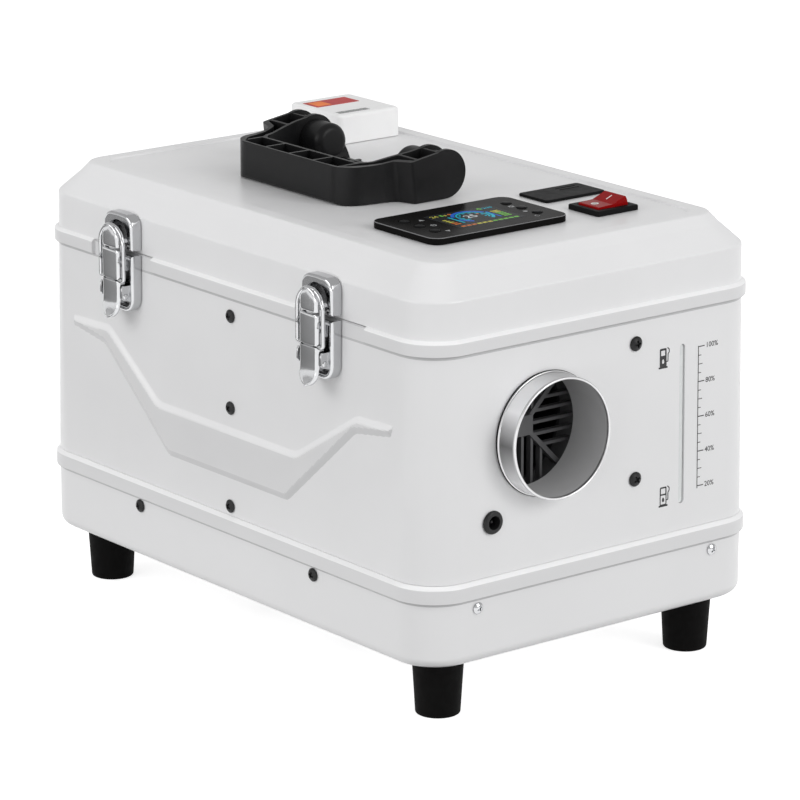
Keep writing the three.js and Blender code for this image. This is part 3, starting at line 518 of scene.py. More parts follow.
WHITE = paint("case_paint", (0.80, 0.80, 0.807))
# Copies of the case paint for painted light: a darker one for painted shade, a much darker one for painted shadow, a
# lighter one for painted highlight.
WHITE_PAINTED_SHADE = paint("case_paint_painted_shade", (0.725, 0.725, 0.732))
WHITE_PAINTED_SHADOW = paint("case_paint_painted_shadow", (0.56, 0.56, 0.568))
WHITE_PAINTED_HIGHLIGHT = paint("case_paint_painted_highlight", (0.90, 0.90, 0.905))
# Copies for the embossed panel: a lighter one for painted highlight, a darker one for painted shade.
RELIEF_PAINTED_HIGHLIGHT = paint("relief_painted_highlight", (0.83, 0.83, 0.836))
RELIEF_PAINTED_SHADE = paint("relief_painted_shade", (0.63, 0.63, 0.638))


def paint_light_and_shade(bm, zones, y_max=None):
    """Lit and shaded copies of the paint chosen by face direction, in zones of (low z, high z, under z): faces turned
    up take a painted highlight, faces turned down or lying below under z a painted shadow, the rest a painted shade.
    """
    bm.normal_update()
    for f in bm.faces:
        c = f.calc_center_median()
        for z0, z1, under in zones:
            if z0 < c.z < z1:
                f.material_index = 1 if f.normal.z > 0.3 else 3 if f.normal.z < -0.15 or c.z < under else 2
    return bm


STEEL = metal("polished_stainless", (0.54, 0.545, 0.555), (0.07, 0.16), (1, 1, 0.06), 1400, 0.05)
HINGE = metal("hinge_steel", (0.50, 0.51, 0.525), (0.24, 0.36), (0.06, 1, 1), 1400, 0.08)
RIM = metal("rolled_rim", (0.60, 0.60, 0.605), (0.34, 0.4), (1, 1, 1), 160, 0.03)
BORE = plastic("bore_lacquer", (0.50, 0.50, 0.505), (0.4, 0.5), 0.02, 2600, drift=0.02)


def painted_reflection_metal():
    """Aluminium with painted reflection: its base colour runs lighter and darker in soft bands round the duct's axis,
    one set of bands above the axis and another below.
    """
    m, t, b = material("aluminium_painted_reflection")
    b.inputs["Metallic"].default_value = 1.0
    c = t.nodes.new("ShaderNodeTexCoord")
    at = t.nodes.new("ShaderNodeMapping")
    at.inputs["Location"].default_value = (0, -(DUCT_Y + OFFSET[1]) / 1000, -DUCT_Z / 1000)
    t.links.new(c.outputs["Object"], at.inputs["Vector"])
    xyz = t.nodes.new("ShaderNodeSeparateXYZ")
    t.links.new(at.outputs["Vector"], xyz.inputs[0])
    turn = t.nodes.new("ShaderNodeMath")
    turn.operation = "ARCTAN2"
    t.links.new(xyz.outputs["Z"], turn.inputs[0])
    t.links.new(xyz.outputs["Y"], turn.inputs[1])
    wrap = t.nodes.new("ShaderNodeMath")
    wrap.operation = "PINGPONG"
    wrap.inputs[1].default_value = math.pi
    t.links.new(turn.outputs[0], wrap.inputs[0])
    upper = span(t, xyz.outputs["Z"], 0.0, 1.0, -0.0001, 0.0001)
    bands = [(0.0, 0.7), (0.25, 0.42), (0.5, 0.48), (0.66, 0.86), (0.82, 0.95), (0.91, 0.5), (1.0, 0.2)]
    below = [(0.0, 0.7), (0.3, 0.5), (0.48, 0.78), (0.6, 0.8), (0.78, 0.95), (0.9, 0.5), (1.0, 0.2)]
    pair = []
    for stops in (below, bands):
        r = ramp(t, span(t, wrap.outputs[0], 0.0, 1.0, 0.0, math.pi), [(p, (v, v, v * 1.01)) for p, v in stops])
        pair.append(r)
    mix = t.nodes.new("ShaderNodeMix")
    mix.data_type = "RGBA"
    t.links.new(upper, mix.inputs["Factor"])
    t.links.new(pair[0], mix.inputs[6])
    t.links.new(pair[1], mix.inputs[7])
    t.links.new(mix.outputs[2], b.inputs["Base Color"])
    lines = noise(t, 160, 3, 0.6, (6, 0.4, 0.4))
    t.links.new(span(t, lines, 0.3, 0.36, 0.3, 0.7), b.inputs["Roughness"])
    t.links.new(bump(t, lines, 0.03, 0.00006), b.inputs["Normal"])
    return m


COLLAR_PAINTED_REFLECTION = painted_reflection_metal()
ZINC = metal("zinc_plate", (0.58, 0.60, 0.62), (0.26, 0.42), (1, 1, 1), 160, 0.05)
CAST = metal("cast_aluminium", (0.50, 0.51, 0.52), (0.45, 0.62), (1, 1, 1), 700, 0.4)
RUBBER = plastic("black_rubber", (0.0022, 0.002, 0.002), (0.6, 0.75), 0.16, 1500, spec=0.06)
BLACK = plastic("handle_plastic", (0.0085, 0.0085, 0.009), (0.32, 0.42), 0.08, 3200, spec=0.17)
DARK = plastic("inner_plastic", (0.026, 0.026, 0.028), (0.5, 0.62), 0.12, 2200)
BEZEL = plastic("switch_plastic", (0.0095, 0.0095, 0.010), (0.36, 0.46), 0.06, 3200, spec=0.03)
SCREW = plastic("black_screw", (0.014, 0.014, 0.0145), (0.34, 0.5), 0.2, 2400, spec=0.25)
BOXWHITE = plastic("alarm_case", (0.90, 0.90, 0.90), (0.40, 0.46), 0.04, 3000, drift=0.008)
GRILLE = plastic("grille_plastic", (0.085, 0.085, 0.088), (0.45, 0.55), 0.06, 2600)
# Darker steel for the sunken floors of the latch plates: painted shade.
STEEL_PAINTED_SHADE = metal("latch_steel_painted_shade", (0.20, 0.20, 0.205), (0.22, 0.36), (1, 1, 1), 900, 0.05)
TANK = plastic("natural_plastic", (0.72, 0.71, 0.65), (0.38, 0.5), 0.1, 900)
BOARD = plastic("circuit_board", (0.03, 0.16, 0.06), (0.3, 0.45), 0.12, 1200, 0.3)
FOAM = plastic("gasket_foam", (0.03, 0.03, 0.031), (0.8, 0.95), 0.6, 1700)
INK = plastic("printed_ink", (0.012, 0.012, 0.013), (0.45, 0.6), 0.05, 3000)
# Lighter grey for the controller's near bevels: painted highlight.
PANEL_EDGE_PAINTED_HIGHLIGHT = plastic("controller_edge_painted_highlight", (0.15, 0.15, 0.155), (0.3, 0.4), 0.03, 3200)
KEYCAP = plastic("key_plastic", (0.012, 0.012, 0.0125), (0.3, 0.4), 0.05, 3200, spec=0.03)


def gloss_black():
    m, t, b = material("controller_glass")
    tint(t, b, (0.0068, 0.0064, 0.0062), 0.1, noise(t, 60, 3))
    t.links.new(span(t, noise(t, 90, 5), 0.16, 0.24, 0.35, 0.7), b.inputs["Roughness"])
    t.links.new(bump(t, noise(t, 240, 1), 0.02, 0.0001), b.inputs["Normal"])
    b.inputs["Specular IOR Level"].default_value = 0.015
    return m


def red_plastic():
    m, t, b = material("rocker_red")
    tint(t, b, (0.27, 0.0035, 0.004), 0.08, noise(t, 160, 3))
    b.inputs["Specular IOR Level"].default_value = 0.06
    t.links.new(span(t, noise(t, 300, 4), 0.16, 0.26, 0.3, 0.7), b.inputs["Roughness"])
    t.links.new(bump(t, noise(t, 900, 2), 0.04, 0.0001), b.inputs["Normal"])
    b.inputs["Subsurface Weight"].default_value = 0.1
    b.inputs["Subsurface Radius"].default_value = (0.004, 0.0004, 0.0004)
    b.inputs["Subsurface Scale"].default_value = 0.6
    b.inputs["Coat Weight"].default_value = 0.02
    b.inputs["Coat Roughness"].default_value = 0.1
    return m


def glow(name, colour, power):
    """Lit display element: colour with a faint mottle, and light of its own."""
    m, t, b = material(name)
    c = ramp(
        t,
        noise(t, 900, 3),
        [(0.35, tuple(v * 0.36 for v in colour)), (0.65, tuple(v * 0.52 for v in colour))],
    )
    t.links.new(c, b.inputs["Base Color"])
    t.links.new(c, b.inputs["Emission Color"])
    b.inputs["Emission Strength"].default_value = power
    b.inputs["Specular IOR Level"].default_value = 0.02
    b.inputs["Roughness"].default_value = 0.25
    return m


def clear_window():
    m, t, b = material("level_strip")
    tint(t, b, (0.74, 0.76, 0.76), 0.03, noise(t, 90, 3))
    t.links.new(span(t, noise(t, 200, 3), 0.18, 0.30, 0.3, 0.7), b.inputs["Roughness"])
    t.links.new(bump(t, noise(t, 700, 2), 0.06, 0.0002), b.inputs["Normal"])
    b.inputs["Subsurface Weight"].default_value = 0.3
    b.inputs["Subsurface Radius"].default_value = (0.002, 0.002, 0.002)
    b.inputs["Coat Weight"].default_value = 0.3
    return m


GLASS = gloss_black()
RED = red_plastic()
WINDOW = clear_window()

# ------------------------------------------------------------------ case shells
def corner_r(i):
    return max(27 - 0.55 * max(i, 0.0), 8) - min(i, 0.0)


NC = 14
STRAIGHT_X = [-172, -160, -140.0, -139.5, -120, -100, -76.1, -75.6, -50, -25, 0, 25, 50,
              73.5, 74.0, 100, 120, 141.1, 141.6, 160, 172]
REAR_X = [-172, -150, -126.5, -126.0, -100, -75, -50, -25, 0, 25, 50, 75, 100, 126.0, 126.5, 150, 172]
STRAIGHT_Y = [-100, -75, -50, -25, 0, 25, 50, 75, 100]


def columns():
    cols = [("F", x) for x in STRAIGHT_X]
    cols += [("FR", -90 + 90 * k / NC) for k in range(NC + 1)]
    cols += [("R", y) for y in STRAIGHT_Y]
    cols += [("RR", 90 * k / NC) for k in range(NC + 1)]
    cols += [("B", x) for x in reversed(REAR_X)]
    cols += [("BL", 90 + 90 * k / NC) for k in range(NC + 1)]
    cols += [("L", y) for y in reversed(STRAIGHT_Y)]
    cols += [("LF", 180 + 90 * k / NC) for k in range(NC + 1)]
    return cols


COLS = columns()


def stretch(v, run, nominal, hold):
    if abs(v) <= hold:
        return v
    return math.copysign(hold + (abs(v) - hold) * (run - hold) / (nominal - hold), v)


def shell_ring(inset, z, bead=None):
    """One ring of the case outline. bead(side, v) gives an extra inset on straight runs."""
    r = corner_r(inset)
    hx, hy = HL - inset - r, HW - inset - r
    pts = []
    for side, v in COLS:
        e = 0.0
        if bead:
            e = bead(side, v)
        if side == "F":
            pts.append((stretch(v, hx, HL - 27, 150), -(HW - inset - e), z))
        elif side == "B":
            pts.append((stretch(v, hx, HL - 27, 150), HW - inset - e, z))
        elif side == "R":
            pts.append((HL - inset - e, stretch(v, hy, HW - 27, 60), z))
        elif side == "L":
            pts.append((-(HL - inset - e), stretch(v, hy, HW - 27, 60), z))
        else:
            sx = 1 if side in ("FR", "RR") else -1
            sy = 1 if side in ("RR", "BL") else -1
            a = math.radians(v)
            pts.append((sx * hx + r * math.cos(a), sy * hy + r * math.sin(a), z))
    return pts


# Base tray: rounded floor, straight wall, bead at the rim, and the wall's inside.
tray_outer = fillet([(14, 37), (0, 37), (0, 62), (0, 76.5), (0, 77.6)], [0, 12, 0, 0, 0], 10)
tray_outer += fillet(
    [(0, 77.7), (-2.4, 78.2), (-2.4, 87.2), (-0.3, 89.1), (0.4, 89.4)], [0, 0.9, 1.7, 0.4, 0], 5
)[1:]
tray_inner = [(1.4, 89.4), (2.2, 88.9), (2.2, 52)] + fillet(
    [(2.2, 51), (2.2, 39.2), (13, 39.2)], [0, 9.8, 0], 6
)[1:]
tray_rings = [shell_ring(i, z) for i, z in tray_outer + tray_inner]
tray = rings_bm(tray_rings)
fx, fy = HL - 29.6, HW - 32.3
tray = cut(
    tray,
    cyl("z", 30, 45, 40, -60, 13.5),
    cyl("z", 30, 45, -52, -60, 13.5),
    [cyl("y", -140, -125, x, 72.5, 2.4, n=20) for x in (-91, 91)],
    [cyl("x", 190, 210, y, 72, 2.4, n=20) for y in (-93.3, 93.3)],
)
# Rim bead of the tray: painted highlight on its upper faces, painted shade on its face, painted shadow on the wall just
# under it.
piece("base_tray_shell", paint_light_and_shade(tray, [(76.5, 89.3, 77.7)]), [WHITE, WHITE_PAINTED_HIGHLIGHT, WHITE_PAINTED_SHADE, WHITE_PAINTED_SHADOW], "case", "base_tray")

# Body shell with the upper bead, which stops at the latches and the rear hinge.
B0 = lean(Z_BEAD3)


def bead_stop(depth):
    def f(side, v):
        off = 0.0
        if side == "F" and (-139.9 < v < -75.7 or 74.1 < v < 141.5):
            off = depth
        if side == "B" and -126.2 < v < 126.2:
            off = depth
        return off

    return f


body_rings = [
    shell_ring(i, z)
    for i, z in [(4.5, 64), (3.9, 63.6), (2.9, 63.6), (2.5, 64), (2.5, 89.0), (1.0, 89.45), (0.1, 89.6), (0.0, 90.2)]
]
for z in (110, 140, 170, 200, 226.6, 227.8):
    body_rings.append(shell_ring(lean(z), z))
bead_profile = fillet(
    [(B0, 228.0), (B0 - 2.4, 228.7), (B0 - 2.4, 236.6), (B0 - 0.2, 238.3), (B0 + 0.12, 238.4)],
    [0, 0.9, 1.7, 0.3, 0], 5,
)
for i, z in bead_profile:
    body_rings.append(shell_ring(i, z if z < 238.2 else 238.2, bead_stop(lean(min(z, 238.2)) - i + 0.02)))
for i, z in [(lean(Z_SEAM) - 0.2, 237.2), (lean(Z_SEAM) + 0.4, 237.0), (lean(Z_SEAM) + 6.2, 237.0),
             (lean(Z_SEAM) + 6.8, 236.6), (lean(Z_SEAM) + 6.8, 235.2), (lean(235) + 3, 235.0),
             (lean(234) + 2, 234), (lean(160) + 2, 160), (2, 91.5), (4.5, 88.5), (4.5, 70)]:
    body_rings.append(shell_ring(i, z))
body = rings_bm(body_rings, closed=True)
LEVEL = dict(y=67.55, w=4.5, z0=106.3, z1=207.1)
lz = (LEVEL["z0"] + LEVEL["z1"]) / 2
body = cut(
    body,
    cyl("x", 190, 210, DUCT_Y, DUCT_Z, 38, n=96),
    cyl("x", -210, -190, DUCT_Y, DUCT_Z, 50, n=96),
    prism("x", slot_outline(LEVEL["y"], lz, LEVEL["w"], LEVEL["z1"] - LEVEL["z0"]), 190, 210),
    cyl("x", 190, 210, -82.4, 123, 6.5, n=40),
    [cyl("y", -140, -120, 6.5, z, 2.4, n=20) for z in (217, 158.7, 95.7)],
    [cyl("x", 190, 210, 29.6, z, 2.4, n=20) for z in (213.6, 128.9)],
)
LATCH_SPANS = ((-139.7, -75.9), (74.3, 141.3))


def open_seam(bm, z0, z1, shift):
    for v in bm.verts:
        if v.co.y < -120 and z0 < v.co.z < z1 and any(a < v.co.x < b for a, b in LATCH_SPANS):
            v.co.z += shift
    return bm


open_seam(body, 236.8, 238.4, -0.55)
# Upper bead of the body: painted highlight on its upper faces, painted shade on its face, painted shadow on the wall
# just under it.
piece("case_body_shell", paint_light_and_shade(body, [(226.7, 238.3, 228.1)]), [WHITE, WHITE_PAINTED_HIGHLIGHT, WHITE_PAINTED_SHADE, WHITE_PAINTED_SHADOW], "case", "case_body", sharp=44)

# Embossed panel on the front wall: soft upper edges, crisper lower ones.
RELIEF = [(-164, 184), (-164.5, 177), (-129, 171.6), (-59.3, 113.6), (65.2, 113.3), (132, 170.8),
          (165, 175.9), (167.7, 183.8), (133, 182.6), (73, 146.6), (-69, 147), (-123, 185.5)]


def soft_min(a, b, k):
    h = max(k - abs(a - b), 0.0) / k
    return min(a, b) - h * h * k * 0.25


def relief_height(x, z):
    """0 to 1: the lower sides rise as a chamfer, the upper ones as a soft shoulder, the ends steeply."""
    zl, zu = lower_edge(x), upper_edge(x)
    low = (z - zl[0]) * zl[1]
    up = (zu[0] - z) * zu[1]
    ends = min(end_gap(x, z, 0), end_gap(x, z, 6))
    f = max(0.0, min(1.0, low / 4.4))
    f = f * (1.0 - 0.12 * f) / 0.88
    u = max(0.0, min(1.0, up / 5.0))
    e = max(0.0, min(1.0, ends / 3.0))
    return max(0.0, soft_min(soft_min(f, u * u * (3 - 2 * u), 0.22), e * (2 - e), 0.15))


def end_gap(x, z, i):
    """Distance inward from side i of the outline, which runs counter-clockwise."""
    a, b = RELIEF[i], RELIEF[i + 1]
    tx, tz = b[0] - a[0], b[1] - a[1]
    return (tx * (z - a[1]) - tz * (x - a[0])) / math.hypot(tx, tz)


def edge_function(points, k):
    """Height of a polyline over x with its corners eased over k mm, and the cosine of its slope."""
    pts = sorted(points)

    def line(x):
        if x <= pts[0][0]:
            a, b = pts[0], pts[1]
        elif x >= pts[-1][0]:
            a, b = pts[-2], pts[-1]
        else:
            for a, b in zip(pts, pts[1:]):
                if a[0] <= x <= b[0]:
                    break
        return a[1] + (b[1] - a[1]) * (x - a[0]) / (b[0] - a[0])

    def f(x):
        n = 6
        z = sum(line(x + k * (j / n - 0.5)) for j in range(n + 1)) / (n + 1)
        slope = (line(x + k / 2) - line(x - k / 2)) / k
        return z, 1 / math.sqrt(1 + slope * slope)

    table = {}

    def g(x):
        key = round(x, 3)
        if key not in table:
            table[key] = f(x)
        return table[key]

    return g


lower_edge = edge_function(RELIEF[1:7], 5.0)
upper_edge = edge_function(RELIEF[7:] + RELIEF[:1], 7.0)


def emboss():
    step = 0.9
    x0, x1, z0, z1 = -168.0, 171.5, 110.5, 189.0
    nx, nz = int((x1 - x0) / step) + 1, int((z1 - z0) / step) + 1
    h = [[relief_height(x0 + i * step, z0 + j * step) for i in range(nx)] for j in range(nz)]
    live = [[any(h[j + b][i + a] > 0.0 for a in (0, 1) for b in (0, 1)) for i in range(nx - 1)] for j in range(nz - 1)]
    verts, faces, idx = [], [], {}

    def v(i, j, back):
        key = (i, j, back)
        if key not in idx:
            idx[key] = len(verts)
            y = -HW + 0.9 if back else -HW + 0.06 - 2.2 * h[j][i]
            verts.append((x0 + i * step, y, z0 + j * step))
        return idx[key]

    edges = {}
    for j in range(nz - 1):
        for i in range(nx - 1):
            if not live[j][i]:
                continue
            q = [(i, j), (i + 1, j), (i + 1, j + 1), (i, j + 1)]
            faces.append([v(*c, False) for c in q])
            faces.append([v(*c, True) for c in reversed(q)])
            for a, b in zip(q, q[1:] + q[:1]):
                if (b, a) in edges:
                    del edges[(b, a)]
                else:
                    edges[(a, b)] = True
    for a, b in edges:
        faces.append([v(*b, False), v(*a, False), v(*a, True), v(*b, True)])
    bm = bmesh.new()
    vs = [bm.verts.new(c) for c in verts]
    for f in faces:
        bm.faces.new([vs[i] for i in f])
    bmesh.ops.recalc_face_normals(bm, faces=bm.faces)
    return leaned(bm, "y")


relief = emboss()
relief.normal_update()
# Faces turned up take a painted highlight, faces turned down a dark painted shade, the upright face a lighter painted
# shade, and faces rising only a little the plain paint.
for f in relief.faces:
    f.material_index = 1 if f.normal.z > 0.16 else 3 if f.normal.z < -0.12 else 0 if f.normal.z > 0.05 else 2
piece("case_body_emboss", relief, [WHITE, RELIEF_PAINTED_HIGHLIGHT, WHITE_PAINTED_SHADE, RELIEF_PAINTED_SHADE], "case", None, sharp=50, weight=False)

# Lid: wall, broad chamfer, raised rim and sunken panel.
lid_outer = fillet(
    [(lean(237.3) + 0.3, 237.3), (lean(237.6), 237.7), (D0, 261.0), (D0 + 12.2, 273.4), (D0 + 17.6, 280.0),
     (D0 + 27.4, 280.2), (D0 + 28.3, 279.0), (D0 + 32, 279.0)],
    [0, 0.2, 2.6, 9, 2.4, 0.7, 0.5, 0], 7,
)
lid_inner = [(D0 + 30, 277), (D0 + 18.4, 276.6), (D0 + 13.2, 271.6), (D0 + 2.2, 260.5), (lean(243) + 2, 243.2),
             (lean(241) + 2.6, 243.0), (lean(241) + 6.6, 243.0), (lean(241) + 6.8, 242.8), (lean(241) + 6.8, 241.2),
             (lean(241) + 6.6, 241.0), (lean(241) + 2, 241.0), (lean(Z_SEAM) + 2, 237.4)]
lid_rings = [shell_ring(i, z) for i, z in lid_outer]
full = lid_rings + [shell_ring(D0 + 40, 279.0)]
under = [shell_ring(D0 + 40, 277.0)] + [shell_ring(i, z) for i, z in lid_inner]


def lid_mesh():
    n = len(COLS)
    rings = full[::-1] + under[::-1]
    # the loop runs: middle of the panel, out over the rim, down the wall, up the inside, back under the panel
    verts = [v for r in rings for v in r]
    faces = []
    m = len(rings)
    for k in range(m - 1):
        a, b = k * n, (k + 1) * n
        for i in range(n):
            j = (i + 1) % n
            faces.append((a + i, a + j, b + j, b + i))
    faces.append(tuple(range(n)))
    faces.append(tuple((m - 1) * n + i for i in range(n)))
    return bm_of(verts, faces)


lid = cut(
    lid_mesh(),
    box(SWITCH[0] - 12, SWITCH[0] + 12, SWITCH[1] - 14.6, SWITCH[1] + 14.6, 270, 290),
    cyl("z", 270, 290, 110, -26, 8),
)
open_seam(lid, 237.2, 237.8, 0.5)
piece("lid_shell_panel", lid, WHITE, "lid", "lid_shell", sharp=44)

# ------------------------------------------------------------------ feet
foot_profile = (
    [(0, 26), (4.2, 26), (4.6, 25.6), (4.6, 0.3), (4.9, 0.0), (12.2, 0.0)]
    + arc(12.45, 1.3, 1.3, -90, 0, 5)
    + [(14.0, 5), (15.0, 22)]
    + arc(15.9 - 1.1, 36.7 - 1.1, 1.1, 0, 90, 5)
    + [(4, 36.7), (3, 36.7), (3, 39), (0, 39)]
)
for nm, sx, sy in (("front_right", 1, -1), ("rear_right", 1, 1), ("front_left", -1, -1), ("rear_left", -1, 1)):
    foot = turned("z", foot_profile, sx * fx, sy * fy, 64)
    piece("foot_%s_rubber" % nm, foot, RUBBER, "case", "foot_" + nm, sharp=50)


# ------------------------------------------------------------------ screws
def dome(r, h, n=7):
    """Profile of a button head from its rim to its crown."""
    out = [(r - 0.15, 0.3), (r, 0.5), (r, 0.35 + h * 0.22)]
    big = (r * r + (h * 0.78) ** 2) / (2 * h * 0.78)
    a1 = math.asin(min(1, r / big))
    for k in range(1, n + 1):
        a = a1 * (1 - k / n)
        out.append((big * math.sin(a), 0.35 + h * 0.22 + h * 0.78 - (big - big * math.cos(a))))
    return out


def screw(r, h, shank, kind):
    prof = [(0, -shank), (1.7, -shank), (2.0, -shank + 0.4), (2.0, 0.3)] + dome(r, h)
    prof[-1] = (0, prof[-1][1])
    s = turned("z", prof, n=40)
    top = 0.35 + h
    if kind == "cross":
        w, ln, dp = r * 0.17, r * 0.58, h * 0.62
        tools = [
            rings_bm([
                [(-ln * 0.72, -w * 0.6, top - dp), (ln * 0.72, -w * 0.6, top - dp), (ln * 0.72, w * 0.6, top - dp), (-ln * 0.72, w * 0.6, top - dp)],
                [(-ln, -w, top + 0.3), (ln, -w, top + 0.3), (ln, w, top + 0.3), (-ln, w, top + 0.3)],
            ]),
        ]
        tools.append(moved(tools[0].copy(), Matrix.Rotation(math.pi / 2, 4, "Z")))
        s = cut(s, tools)
    else:
        hexa = [(r * 0.42 * math.cos(math.radians(60 * k + 12)), r * 0.42 * math.sin(math.radians(60 * k + 12))) for k in range(6)]
        s = cut(s, prism("z", hexa, top - h * 0.6, top + 1))
    return s


TO_FRONT = Matrix.Rotation(math.pi / 2, 4, "X")  # local +Z to -Y
TO_END = Matrix.Rotation(math.pi / 2, 4, "Y")  # local +Z to +X


def place_screw(node_name, s, turn, x, y, z, mat, spin=0.0):
    m = Matrix.Translation((x, y, z)) @ turn @ Matrix.Rotation(math.radians(spin), 4, "Z")
    piece(node_name + "_head", moved(s, m), mat, "case", node_name, sharp=40)


for i, (x, z, spin) in enumerate([(6.5, 217, 14), (6.5, 158.7, 40), (6.5, 95.7, 63)]):
    place_screw("front_screw_%d" % (i + 1), screw(4.2, 2.4, 6.5, "cross"), TO_FRONT, x, -HW + lean(z), z, SCREW, spin)
for i, (x, z, spin) in enumerate([(-91, 72.5, 25), (91, 72.5, 70)]):
    place_screw("tray_screw_%d" % (i + 1), screw(4.2, 2.4, 6.5, "cross"), TO_FRONT, x, -HW, z, SCREW, spin)
for i, (y, z, spin) in enumerate([(29.6, 213.6, 8), (29.6, 128.9, 33)]):
    place_screw("end_screw_%d" % (i + 1), screw(4.6, 2.6, 5.2, "cross"), TO_END, HL - lean(z), y, z, SCREW, spin)
for i, (y, z, spin) in enumerate([(-93.3, 72, 30), (93.3, 72, 52)]):
    place_screw("end_tray_screw_%d" % (i + 1), screw(3.6, 1.8, 5.0, "cross"), TO_END, HL, y, z, STEEL, spin)

# ------------------------------------------------------------------ outlet collar and grille
R = 37.5
collar_prof = (
    [(R - 1.5, 183.2), (R, 183.2), (R, 195.2), (46, 195.2), (46, 196.8), (R, 196.8), (R, 200.9), (R + 1.1, 200.95), (R + 1.1, 201.3), (R + 0.8, 201.35)]
    + arc(R + 0.35, 201.75, 0.45, 0, 90, 4)
    + [(R, 202.5), (R, 214.6)]
    + [(R + 0.1, 214.9)]
    + arc(R - 0.8, 215.75, 0.85, 0, 180, 10)
    + [(R - 1.7, 214.9), (R - 1.6, 214.2)]
)
ring = turned("x", collar_prof, DUCT_Y, DUCT_Z, 128)
ring.normal_update()
# The collar's outer wall takes the aluminium with painted reflection bands in its base colour.
for f in ring.faces:
    c = f.calc_center_median()
    r = math.hypot(c.y - DUCT_Y, c.z - DUCT_Z)
    f.material_index = 3 if c.x < 201.34 and r > R + 0.1 else 1 if c.x > 214.8 or c.x < 202.4 and r > R + 0.1 else 2 if r < R - 1 else 0
piece("outlet_collar_ring", ring, [COLLAR_PAINTED_REFLECTION, RIM, BORE, RUBBER], "case", "outlet_collar", sharp=50)


SLATS = (-14.6, -7.3, 0.0, 7.3, 14.6)


def grille():
    x0, x1 = 174.0, 180.0
    parts = [
        turned("x", [(40, 166.5), (43, 166.5), (43, 182.2), (42.6, 182.6), (40.4, 182.6), (40, 182.2)], 0, 0, 96),
        prism("x", rrect(-6.2, 6.2, -6.2, 6.2, 1.0, 4), x0, x1 + 1.2),
    ]
    for s in (1, -1):
        arm = prism("x", rrect(-1.5, 1.5, -41, 41, 0.6, 3), x0, x1)
        parts.append(moved(arm, Matrix.Rotation(s * math.pi / 4, 4, "X")))
    for t in SLATS:
        for sgn in (1, -1):
            lo, hi = sorted((sgn * max(abs(t), 4), sgn * 41))
            parts.append(prism("x", rrect(t - 0.95, t + 0.95, lo, hi, 0.5, 3), x0 + 1, x1 - 1))
            parts.append(prism("x", rrect(lo, hi, t - 0.95, t + 0.95, 0.5, 3), x0 + 1, x1 - 1))
    g = join(parts[0], *parts[1:])
    g = boolean(g, cyl("x", 160, 200, 0, 0, 42.9, n=96), "INTERSECT")
    return shifted(g, 0, DUCT_Y, DUCT_Z)


piece("outlet_grille_bars", grille(), GRILLE, "case", "outlet_grille", sharp=35)


def inlet():
    ring = turned(
        "x",
        [(47, -196), (49.4, -196), (49.4, -201.2), (54.8, -201.2), (56, -201.8), (56, -204.2), (54.6, -206), (53.6, -206.2), (48.2, -206.2), (47, -205.2)],
        0, 0, 96,
    )
    parts = [ring, turned("x", [(0, -202.2), (10, -202.2), (10, -204.6), (9, -205.2), (0, -205.4)], 0, 0, 40)]
    for r in (17.5, 25, 32.5, 40):
        parts.append(turned("x", [(r - 1.1, -202.2), (r + 1.1, -202.2), (r + 1.1, -204.4), (r, -204.9), (r - 1.1, -204.4)], 0, 0, 72))
    for k in range(6):
        bar = prism("x", [(-1.4, 0), (1.4, 0), (1.4, 48.2), (-1.4, 48.2)], -204.4, -202.3)
        parts.append(moved(bar, Matrix.Rotation(k * math.pi / 3, 4, "X")))
    return shifted(join(parts[0], *parts[1:]), 0, DUCT_Y, DUCT_Z)


piece("air_inlet_grille_bars", inlet(), BLACK, "case", "air_inlet_grille", bevel=0.25, seg=2, sharp=35)

# ------------------------------------------------------------------ power inlet jack
jack = cut(
    turned("x", [(0, 186), (6.0, 186), (6.2, 186.3), (6.2, 200.8), (7.0, 200.8), (7.2, 201.1), (7.2, 201.9), (6.7, 202.6), (6.0, 203), (0, 203)], -82.4, 123, 64),
    cyl("x", 192, 204, -82.4, 123, 4.2, n=48),
)
jack = join(jack, turned("x", [(0, 191), (1.1, 191), (1.1, 199.9), (0.7, 200.5), (0, 200.6)], -82.4, 123, 20))
piece("dc_jack_body", jack, SCREW, "case", "dc_jack", bevel=0.25, seg=2, sharp=35)

# ------------------------------------------------------------------ level window and its scale
window = leaned(
    join(
        prism("x", rrect(LEVEL["y"] - 6.5, LEVEL["y"] + 6.5, LEVEL["z0"] - 5, LEVEL["z1"] + 5, 3, 4), 195.4, 198.5),
        prism("x", slot_outline(LEVEL["y"], lz, LEVEL["w"] - 0.7, LEVEL["z1"] - LEVEL["z0"] - 0.7), 198, 199.6),
    ),
    "x",
)
piece("level_window_strip", window, WINDOW, "case", "level_window", bevel=0.2)


def text_bm(body, size, u, v, align="LEFT", bold=0.0):
    """Flat lettering in a (u, v) plane, as a thin solid 0.06 thick along +w."""
    c = bpy.data.curves.new("t", "FONT")
    c.body = body
    c.size = size
    c.align_x = align
    c.align_y = "CENTER"
    c.extrude = 0.03
    c.offset = bold
    c.resolution_u = 3
    o = bpy.data.objects.new("t", c)
    bpy.context.scene.collection.objects.link(o)
    dg = bpy.context.evaluated_depsgraph_get()
    dg.update()
    me = bpy.data.meshes.new_from_object(o.evaluated_get(dg))
    bm = bmesh.new()
    bm.from_mesh(me)
    bmesh.ops.remove_doubles(bm, verts=bm.verts, dist=1e-4)
    bpy.data.objects.remove(o)
    bpy.data.curves.remove(c)
    bpy.data.meshes.remove(me)
    for vert in bm.verts:
        vert.co.x += u
        vert.co.y += v
    return bm


def on_end(bm, lift=0.05):
    """(u, v, w) to the +X end wall: u along +Y, v up, w out of the wall."""
    for v in bm.verts:
        u, h, w = v.co
        v.co = (HL - lean(h) + lift + w, u, h)
    bmesh.ops.recalc_face_normals(bm, faces=bm.faces)
    return bm


